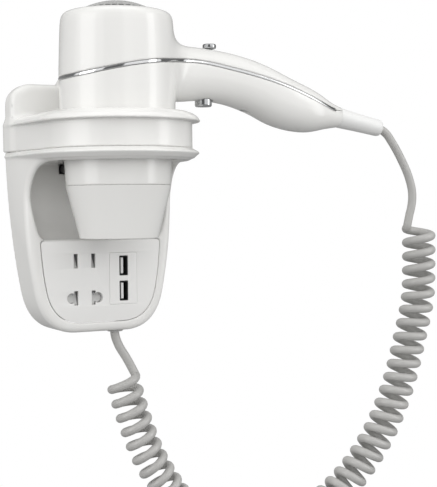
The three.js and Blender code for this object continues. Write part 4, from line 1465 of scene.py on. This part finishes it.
    def trim(self) -> None:
        """Sweeps the bright trim band along the split, with round ends at the tail."""
        path = self.split_edge()
        reach = 0.3
        gap = np.stack([
            self.body_field(*(path + step).T) - self.body_field(*(path - step).T)
            for step in reach * np.eye(3)
        ], axis=1)
        tangent = np.gradient(path, axis=0)
        tangent /= np.linalg.norm(tangent, axis=1, keepdims=True)
        normal = gap - tangent * (gap * tangent).sum(1, keepdims=True)
        normal /= np.linalg.norm(normal, axis=1, keepdims=True)
        upward = np.cross(normal, tangent)
        upward *= np.sign(upward[:, 2:3])
        length = np.concatenate([[0], np.cumsum(np.linalg.norm(np.diff(path, axis=0), axis=1))])
        nearest_end = np.minimum(length, length[-1] - length)
        round_end = np.sqrt(np.clip(1 - (1 - np.clip(nearest_end / 1.2, 0, 1)) ** 2, 0.02, 1))
        face, half = 0.2, self.strip_half
        section = [(-1.5, -0.8), (-1.5, 0.8), (-0.2, half), (0.05, half - 0.02), (face - 0.03, half - 0.14)]
        section += [(face, half - 0.3), (face + 0.04, 0), (face, 0.3 - half)]
        section += [(face - 0.03, 0.14 - half), (0.05, 0.02 - half), (-0.2, -half)]
        ease = round_end[:, None]
        rings = [
            path + depth * normal * (ease if depth > 0 else 1) + height * upward * ease
            for depth, height in section
        ]
        vertices = np.stack(rings, axis=1).reshape(-1, 3)
        mesh = mesh_of("trim_band", vertices, capped_faces(len(path), len(section)), sharp=50)
        face_outwards(mesh)
        settle_piece(self.paint.dress(new_object("trim_band", mesh), "chrome"), Body.HANDSET, "trim_strip")

    def inlet(self) -> None:
        """Builds the domed inlet grille from a rim, round wires and ribs over a fine filter."""
        radius, edge, rise = self.grille_radius, self.grille_edge, self.grille_rise
        rim = turned("grille_rim", [(radius - 1.8, edge - 1), (radius, edge - 1), (radius, edge + 0.3),
                                    (radius - 0.3, edge + 0.75), (radius - 0.9, edge + 0.95),
                                    (radius - 1.5, edge + 0.8), (radius - 1.8, edge + 0.3)])
        rings = self.grow.grow("grille_rings", self.grow.dome_rings, "grille_grey", {
            "Count": 10, "Inner": 2.4 * MM, "Spacing": 2.0 * MM, "Edge": radius * MM, "Rise": rise * MM,
            "Wire": 0.45 * MM, "Centre": metres(0, AXIS_OUT, edge + 0.1)})
        reach = np.linspace(1.5, radius - 1, 12)
        arch = np.stack([reach, 0 * reach, rise * (1 - (reach / radius) ** 2)], axis=1)
        rib = new_object("rib", tube_mesh("rib", arch, 0.55, 6))
        ribs = self.grow.grow("grille_ribs", self.grow.ring, "grille_grey", {
            "Count": 32, "Start Angle": 0.05, "Centre": metres(0, AXIS_OUT, edge + 0.3)}, rib)
        crest = edge + rise
        hub = turned("grille_hub", [
            (0, crest - 1.2), (2.6, crest - 1.2), (2.8, crest - 0.2), (2.2, crest + 0.35), (1.2, crest + 0.6),
            (0, crest + 0.7)], sides=40)
        grille = joined("inlet_guard", [rim, rings, ribs, hub])
        settle_piece(self.paint.dress(grille, "grille_grey"), Body.HANDSET, "inlet_grille")
        self.paint.dress_nodes("filter_mesh", "inlet_filter")

    def fan(self) -> None:
        """Builds the axial fan with its twisted blades, and dresses the shaft."""
        rings = []
        for radius in np.linspace(9.5, 29.6, 9):
            pitch = math.radians(58 - 26 * (radius - 9.5) / 20)
            chord = np.linspace(-1, 1, 7) * (4.6 + 0.16 * (radius - 9.5))
            camber = 1.1 * (1 - np.linspace(-1, 1, 7) ** 2)
            along = chord * math.cos(pitch) - camber * math.sin(pitch)
            up = np.clip(chord * math.sin(pitch) + camber * math.cos(pitch), -5.2, 5.2)
            turn = along / radius
            rings.append(np.stack([radius * np.cos(turn), radius * np.sin(turn), 116 + up], axis=1))
        grid = np.stack(rings)
        rows, columns = grid.shape[:2]
        quads = [
            (i * columns + j, i * columns + j + 1, (i + 1) * columns + j + 1, (i + 1) * columns + j)
            for i in range(rows - 1) for j in range(columns - 1)
        ]
        blade = new_object("blade", mesh_of("blade", grid.reshape(-1, 3), quads))
        thick = blade.modifiers.new("thickness", "SOLIDIFY")
        thick.thickness = 0.9 * MM
        thick.offset = 0
        solid = new_object("blade_solid", evaluated(blade, "blade_solid"))
        blades = self.grow.grow("fan_blades", self.grow.ring, "black_plastic", {
            "Count": 7, "Start Angle": 0.0, "Centre": metres(0, AXIS_OUT, 0)}, solid)
        hub = turned("fan_hub", [
            (1.8, 111.5), (10, 111.5), (10, 118.6), (9.4, 119.8), (8, 120.5), (1.8, 120.5)], sides=64)
        self.paint.dress(hub, "black_plastic")
        settle_piece(self.paint.dress(joined("fan_wheel", [blades, hub]), "black_plastic"), Body.FAN, "fan")
        self.paint.dress_nodes("steel", "motor_shaft")

    def outlet(self) -> None:
        """Builds the outlet guard and the heating coil."""
        rim = turned("guard_rim", [(28.6, 24), (30.8, 24), (30.8, 26.4), (28.6, 26.4)])
        parts = [rim]
        for number in range(-3, 4):
            place = number * 8.0
            half = math.sqrt(28.9**2 - place**2)
            steps = np.linspace(-half, half, 9)
            for swap in (False, True):
                level = 25.4 if swap else 24.8
                line = np.stack([steps, 0 * steps + place], axis=1)[:, :: -1 if swap else 1]
                path = np.column_stack([line[:, 0], line[:, 1] - AXIS_OUT, np.full(9, level)])
                parts.append(new_object("guard_bar", tube_mesh("guard_bar", path, 0.6, 8)))
        guard = joined("outlet_grid", parts)
        settle_piece(self.paint.dress(guard, "black_plastic"), Body.HANDSET, "outlet_guard")
        coil = self.grow.grow("heating_coil", self.grow.winding, "heating_wire", {
            "Turns": 9.0, "Radius": 27.8 * MM, "Height": 36 * MM, "Wire": 0.8 * MM,
            "Centre": metres(0, AXIS_OUT, 36)})
        settle_piece(coil, Body.HANDSET, "heater_coil")

    def nozzle(self) -> None:
        """Turns the cone nozzle with its soft tip and the step at its seam."""
        profile = [
            (23.9, -18.2), (24.3, -19), (25.6, -19), (26.05, -18.7), (26.2, -18.1), (27.3, -13.6),
            (29.9, -3.4), (32.1, 5.2), (33.9, 12), (34.6, 14.8), (34.68, 15.4), (34.6, 15.5), (32.1, 15.5),
            (32.1, 22.3),
            (30.8, 22.3), (30.8, 14.3), (27.6, -3.8)]
        piece = turned("cone_nozzle", profile, sides=160, sharp=35)
        settle_piece(self.paint.dress(piece, "handset_white"), Body.NOZZLE, "nozzle")

    def switches(self) -> None:
        """Builds the slide knob and the trigger, and dresses the switches behind them."""

        def knob_form(x: Array, y: Array, z: Array) -> Array:
            """Round cap with a dished top on a flat stem."""
            radius = np.hypot(x - self.knob_x, y + AXIS_OUT)
            cap = both(radius - 4.6, between(z, 108.6, 112), 1.3)
            dish = np.hypot(radius, z - 124.6) - 13
            stem = rounded_box(x, y, z, (65.8, -AXIS_OUT - 1.4, 102.9), (70.4, -AXIS_OUT + 1.4, 111), 0.3)
            return union(without(cap, dish, 0.3), stem, 0.4)

        def trigger_form(x: Array, y: Array, z: Array) -> Array:
            """Round push button with a dished face and a flange that holds it in the shell."""
            radius = np.hypot(x - self.trigger_x, y + AXIS_OUT)
            button = both(radius - 5.8, between(z, 69, 79.4), 1.5)
            dish = np.hypot(radius, z - 51.6) - 18
            flange = both(radius - 7, between(z, 78, 79.4), 0.4)
            return union(without(button, dish, 0.4), flange, 0.4)

        low, high = (63.2, AXIS_OUT - 4.7, 102.9), (72.8, AXIS_OUT + 4.7, 112)
        knob = moulded("slide_knob_cap", knob_form, low, high, 0.3)
        settle_piece(self.paint.dress(knob, "button_chrome"), Body.SLIDE_KNOB, "slide_switch_knob")
        low, high = (55.9, AXIS_OUT - 7.1, 69), (70.1, AXIS_OUT + 7.1, 79.4)
        button = moulded("trigger_pad", trigger_form, low, high, 0.4)
        settle_piece(self.paint.dress(button, "button_chrome"), Body.TRIGGER, "trigger_button")
        turns = np.linspace(0, 1, 120)
        angle = 2 * math.pi * 4.5 * turns
        radius, foot, height = 2.15, 80.1, 4.6
        wire = np.stack([self.trigger_x + radius * np.cos(angle), radius * np.sin(angle) - AXIS_OUT,
                         foot + height * turns], axis=1)
        spring = new_object("return_spring", tube_mesh("return_spring", wire, 0.35, 8))
        settle_piece(self.paint.dress(spring, "steel"), Body.HANDSET, "trigger_spring")
        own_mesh(spring)

    def tail(self) -> None:
        """Turns the strain relief sleeve with its flared root and round end."""
        length = 36.0
        root = 2.6
        profile = [(3.3, -8), (4.5, -8), (4.6, -7.8), (4.6, 0.2), (6.9, 0.3), (7.15, root), (6.95, root + 6),
                   (6.6, root + 14), (6.35, root + 24), (6.15, root + length - 3), (6.0, root + length - 1.6),
                   (5.6, root + length - 0.6), (4.9, root + length), (3.8, root + length),
                   (3.3, root + length - 0.5)]
        start = (self.tail_start[0], AXIS_OUT, self.tail_start[1])
        sleeve = turned("strain_relief", profile, start, self.tail_direction(), sides=64, sharp=40)
        settle_piece(self.paint.dress(sleeve, "port_white"), Body.HANDSET, "tail_sleeve")

    def hidden_parts(self) -> None:
        """Builds the lead in the handle and dresses the parts that stay inside the shells."""
        route = np.array([
            (157, -62, 64), (143, -61.5, 63), (120, -61, 67), (100, -61, 76), (91, -62, 82)], float)
        lead = new_object("inner_lead", tube_mesh("inner_lead", spline_through(route, 40), 2, 12))
        settle_piece(self.paint.dress(lead, "cord_sheath"), Body.HANDSET, "handle_lead")
        self.paint.dress_nodes("steel", "motor", "thermostat", "shell_screw_1", "shell_screw_2")
        self.paint.dress_nodes("black_plastic", "air_duct", "slide_switch", "trigger_switch", "cord_clamp")
        self.paint.dress_nodes("mica", "heater_frame", "heater_liner")
        self.paint.dress_nodes("brass", "thermal_fuse")
        self.paint.dress_nodes("board", "control_board")


def spline_through(points: Array, count: int) -> Array:
    """Evenly spaced points on a smooth curve through points.

    Args:
        points: places that the curve passes.
        count: number of points to return.

    Returns:
        The points on the curve.
    """
    chord = np.concatenate([[0], np.cumsum(np.linalg.norm(np.diff(points, axis=0), axis=1))])
    return evenly(smooth_value(chord, points, np.linspace(0, chord[-1], 40 * len(points))), count)


def evenly(line: Array, count: int) -> Array:
    """The same line with evenly spaced points."""
    run = np.concatenate([[0], np.cumsum(np.linalg.norm(np.diff(line, axis=0), axis=1))])
    places = np.linspace(0, run[-1], count)
    return np.stack([np.interp(places, run, line[:, k]) for k in range(3)], axis=1)


# ---------------------------------------------------------------- cord
@dataclass
class Cord:
    """Curly cord from the handset's tail down in a long loop and up into the holder."""

    paint: Paint
    wire: float = 6.2
    coil: float = 25.2
    pitch: float = 10.45
    handset_end: tuple = (
        (207.2, -68.5, 57.3), (212.5, -69.3, 54), (217.5, -70.4, 47), (224.5, -71.9, 34.7),
        (230.7, -73.2, 20.6), (233.2, -73.8, 8.5), (232.4, -73.6, -0.8), (229.4, -73, -10.4))
    coil_axis: tuple = (
        (238, -74.8, -12.8), (238, -74.8, -42), (237.1, -74.6, -67.5), (230.8, -73.2, -97.3),
        (220, -70.9, -136.5), (203.8, -67.4, -172.3), (179.6, -62.1, -203.9), (145, -54.7, -229.5),
        (111, -47.3, -241), (78.6, -40.2, -231), (57, -35.6, -210), (44.7, -32.9, -191.7),
        (35.1, -30.8, -173.6), (27.6, -29.2, -153.6), (21.6, -27.9, -133.5), (17.3, -27, -115.5))
    base_end: tuple = (
        (24.2, -28.4, -110.6), (20.3, -27.5, -103.4), (15.8, -26.6, -95.8), (13, -26, -87.5),
        (13, -26, -79))

    def helix(self, per_turn: int = 30) -> Array:
        """Centreline of the curly part: a right-handed helix about the coil's axis.

        Args:
            per_turn: points in one turn.

        Returns:
            The centreline's points.
        """
        axis = spline_through(np.array(self.coil_axis, float), 2000)
        inset = self.pitch * 0.35
        length = np.linalg.norm(np.diff(axis, axis=0), axis=1).sum()
        first, second = frames_along(axis)
        starts = np.array(self.handset_end[-1]) - axis[0]
        ends = np.array(self.base_end[0]) - axis[-1]
        start_angle = math.atan2(starts @ second[0], starts @ first[0])
        end_angle = math.atan2(ends @ second[-1], ends @ first[-1])
        turns = round((length - 2 * inset) / self.pitch)
        sweep = 2 * math.pi * turns + (end_angle - start_angle) % (2 * math.pi)
        share = np.linspace(0, 1, int(turns * per_turn) + 1)
        run = (inset + share * (length - 2 * inset)) / length * (len(axis) - 1)
        place, across, beside = (
            np.stack([np.interp(run, np.arange(len(axis)), line[:, k]) for k in range(3)], axis=1)
            for line in (axis, first, second)
        )
        angle = (start_angle + sweep * share)[:, None]
        radius = (self.coil - self.wire) / 2
        return place + radius * (np.cos(angle) * across + np.sin(angle) * beside)

    def centreline(self) -> Array:
        """Whole centreline: both straight ends and the curly part as one smooth line."""
        start = spline_through(np.array(self.handset_end, float), 60)
        end = spline_through(np.array(self.base_end, float), 30)
        line = np.concatenate([start[:-4], self.helix(), end[4:]])
        spacing = 1.6
        total = np.linalg.norm(np.diff(line, axis=0), axis=1).sum()
        line = evenly(line, int(total / spacing))
        reach = 3
        weights = np.exp(-0.5 * (np.arange(-reach, reach + 1) / 1.0) ** 2)
        weights /= weights.sum()
        padded = np.pad(line, ((reach, reach), (0, 0)), mode="edge")
        smooth = sum(w * padded[k : k + len(line)] for k, w in enumerate(weights))
        smooth[:reach], smooth[-reach:] = line[:reach], line[-reach:]
        return smooth

    def build(self) -> None:
        path = self.centreline()
        piece = new_object("curly_cord", tube_mesh("curly_cord", path, self.wire / 2, 14))
        self.paint.dress(piece, "cord_sheath")
        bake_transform(piece)
        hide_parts("cord_handset_end", "cord_coil", "cord_base_end")


# ---------------------------------------------------------------- studio
@dataclass
class Studio:
    """Pale floor, soft lights and the camera."""

    azimuth: float = 27.0
    elevation: float = 1.9
    roll: float = 0.6
    place: tuple[float, float, float] = (-0.3017, -0.8049, 0.003)
    lens: float = 88.7
    floor_level: float = -0.29
    sky_strength: float = 0.97
    # (share of the way from straight down to straight up, brightness)
    sky_stops: tuple = ((0.0, 0.15), (0.2, 0.3), (0.4, 0.75), (0.52, 0.98), (0.8, 1.0), (1.0, 0.92))
    # (share of the way round, from behind by the left to the front at 0.5 and on, brightness)
    screen_stops: tuple = (
        (0.0, 0.3), (0.12, 0.2), (0.18, 0.2), (0.2, 1.0), (0.36, 1.0), (0.37, 0.15), (0.47, 0.15),
        (0.48, 1.0), (0.7, 1.0), (0.71, 0.15), (0.9, 0.2), (1.0, 0.3))

    def camera(self) -> None:
        """Adds the camera, level with the collar and left of the object."""
        azimuth, elevation, roll = (math.radians(v) for v in (self.azimuth, self.elevation, self.roll))
        ahead = Vector((math.sin(azimuth) * math.cos(elevation), math.cos(azimuth) * math.cos(elevation),
                        -math.sin(elevation)))
        level = Vector((math.cos(azimuth), -math.sin(azimuth), 0))
        above = level.cross(ahead)
        right = level * math.cos(roll) - above * math.sin(roll)
        up = above * math.cos(roll) + level * math.sin(roll)
        data = bpy.data.cameras.new("camera")
        data.lens = self.lens
        data.sensor_width = 36
        data.clip_start = 0.01
        data.clip_end = 100
        camera = bpy.data.objects.new("camera", data)
        matrix = Matrix((right, up, -ahead)).transposed().to_4x4()
        matrix.translation = self.place
        camera.matrix_world = matrix
        bpy.context.scene.collection.objects.link(camera)
        bpy.context.scene.camera = camera

    def softbox(self, name: str, bearing: float, height: float, size: tuple[float, float], power: float,
                distance: float = 1.6, mirrored_too: bool = True) -> None:
        """Adds one rectangular light that faces the object.

        Args:
            name: name of the light.
            bearing: degrees clockwise from straight in front of the holder, seen from above.
            height: its height in metres over the object's centre.
            size: width and height in metres.
            power: watts.
            distance: metres from the object, level with it.
            mirrored_too: whether glossy surfaces show it.
        """
        data = bpy.data.lights.new(name, "AREA")
        data.shape = "RECTANGLE"
        data.size, data.size_y = size
        data.energy = power
        light = bpy.data.objects.new(name, data)
        light.visible_glossy = mirrored_too
        turn = math.radians(bearing)
        target = Vector((0.05, -0.06, 0))
        light.location = target + Vector((-math.sin(turn) * distance, -math.cos(turn) * distance, height))
        light.rotation_euler = (target - light.location).to_track_quat("-Z", "Y").to_euler()
        bpy.context.scene.collection.objects.link(light)

    def lights(self) -> None:
        """Adds the softboxes."""
        self.softbox("left_softbox", 82, 0.1, (0.9, 1.6), 7)
        self.softbox("right_softbox", -50, 0.15, (0.5, 1.7), 6)
        self.softbox("top_softbox", 10, 1.5, (1.6, 1.2), 3, distance=0.5)
        self.softbox("front_fill", 14, 0.15, (1.4, 0.9), 4, mirrored_too=False)

    @staticmethod
    def ramp(tree: bpy.types.NodeTree, stops: Pairs, place: bpy.types.NodeSocket) -> bpy.types.NodeSocket:
        """Grey ramp through (position, brightness) stops.

        Args:
            tree: the tree.
            stops: the stops in rising order of position.
            place: the socket that holds the position.

        Returns:
            The ramp's colour.
        """
        node = add_node(tree, "ShaderNodeValToRGB", {"Fac": place})
        elements = node.color_ramp.elements
        while len(elements) < len(stops):
            elements.new(0.5)
        for element, (position, grey) in zip(elements, stops):
            element.position = position
            element.color = (grey, grey, grey, 1)
        return node.outputs["Color"]

    def world(self) -> None:
        """White surroundings to look at, a soft sky over a dim ground for light, and screens to mirror."""
        world = bpy.data.worlds.new("studio")
        bpy.context.scene.world = world
        world.use_nodes = True
        tree = world.node_tree
        tree.nodes.clear()
        place = add_node(tree, "ShaderNodeTexCoord").outputs["Generated"]
        parts = add_node(tree, "ShaderNodeSeparateXYZ", {"Vector": place}).outputs
        height = add_node(tree, "ShaderNodeMapRange", {"Value": parts["Z"], "From Min": -1})
        sky = self.ramp(tree, self.sky_stops, height.outputs["Result"])
        bearing = maths(tree, "ARCTAN2", parts["X"], maths(tree, "MULTIPLY", parts["Y"], -1))
        around = add_node(tree, "ShaderNodeMapRange", {
            "Value": bearing, "From Min": -math.pi, "From Max": math.pi})
        screens = self.ramp(tree, self.screen_stops, around.outputs["Result"])
        mirrored_sky = add_node(tree, "ShaderNodeMix", {"Factor": 1, "A": sky, "B": screens},
                                data_type="RGBA", blend_type="MULTIPLY").outputs["Result"]
        soft, glossy, plain = (
            add_node(tree, "ShaderNodeBackground", {
                "Color": colour, "Strength": strength}).outputs["Background"]
            for colour, strength in ((sky, self.sky_strength), (mirrored_sky, 1), (WHITE, 1))
        )
        ray = add_node(tree, "ShaderNodeLightPath").outputs
        lit = add_node(tree, "ShaderNodeMixShader", {"Fac": ray["Is Glossy Ray"], 1: soft, 2: glossy})
        seen = add_node(tree, "ShaderNodeMixShader", {
            "Fac": ray["Is Camera Ray"], 1: lit.outputs["Shader"], 2: plain})
        add_node(tree, "ShaderNodeOutputWorld", {"Surface": seen.outputs["Shader"]})

    def floor(self) -> None:
        """Adds a pale floor under the lowest point of the cord."""
        half = 6000.0
        level = self.floor_level / MM
        corners = np.array([
            (-half, -half, level), (half, -half, level), (half, half, level), (-half, half, level)])
        floor = new_object("floor", mesh_of("floor", corners, [(0, 1, 2, 3)]))
        material = bpy.data.materials.new("pale_floor")
        material.use_nodes = True
        tree = material.node_tree
        shader = tree.nodes["Principled BSDF"]
        connect(tree, shader, {"Base Color": (0.3, 0.3, 0.3, 1), "Roughness": 0.9, "Specular IOR Level": 0})
        glow = add_node(tree, "ShaderNodeEmission", {"Color": WHITE})
        ray = add_node(tree, "ShaderNodeLightPath")
        mix = add_node(tree, "ShaderNodeMixShader", {
            "Fac": ray.outputs["Is Camera Ray"], 1: shader.outputs["BSDF"], 2: glow.outputs["Emission"]})
        connect(tree, tree.nodes["Material Output"], {"Surface": mix.outputs["Shader"]})
        floor.data.materials.append(material)

    def build(self) -> None:
        """Builds the whole studio."""
        bpy.context.scene.view_settings.view_transform = "Standard"
        self.camera()
        self.lights()
        self.world()
        self.floor()


def main() -> None:
    """Builds every sub-assembly in order."""
    logging.basicConfig(level=logging.INFO, format="%(name)s: %(message)s")
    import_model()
    Studio().build()
    paint = Paint()
    grow = Growers(paint)
    holder = Holder(paint, grow)
    holder.mouldings()
    holder.socket()
    holder.wall_side()
    holder.small_parts()
    handset = Handset(paint, grow)
    handset.shells()
    handset.trim()
    handset.inlet()
    handset.fan()
    handset.outlet()
    handset.nozzle()
    handset.switches()
    handset.tail()
    handset.hidden_parts()
    Cord(paint).build()


if __name__ == "__main__":
    main()
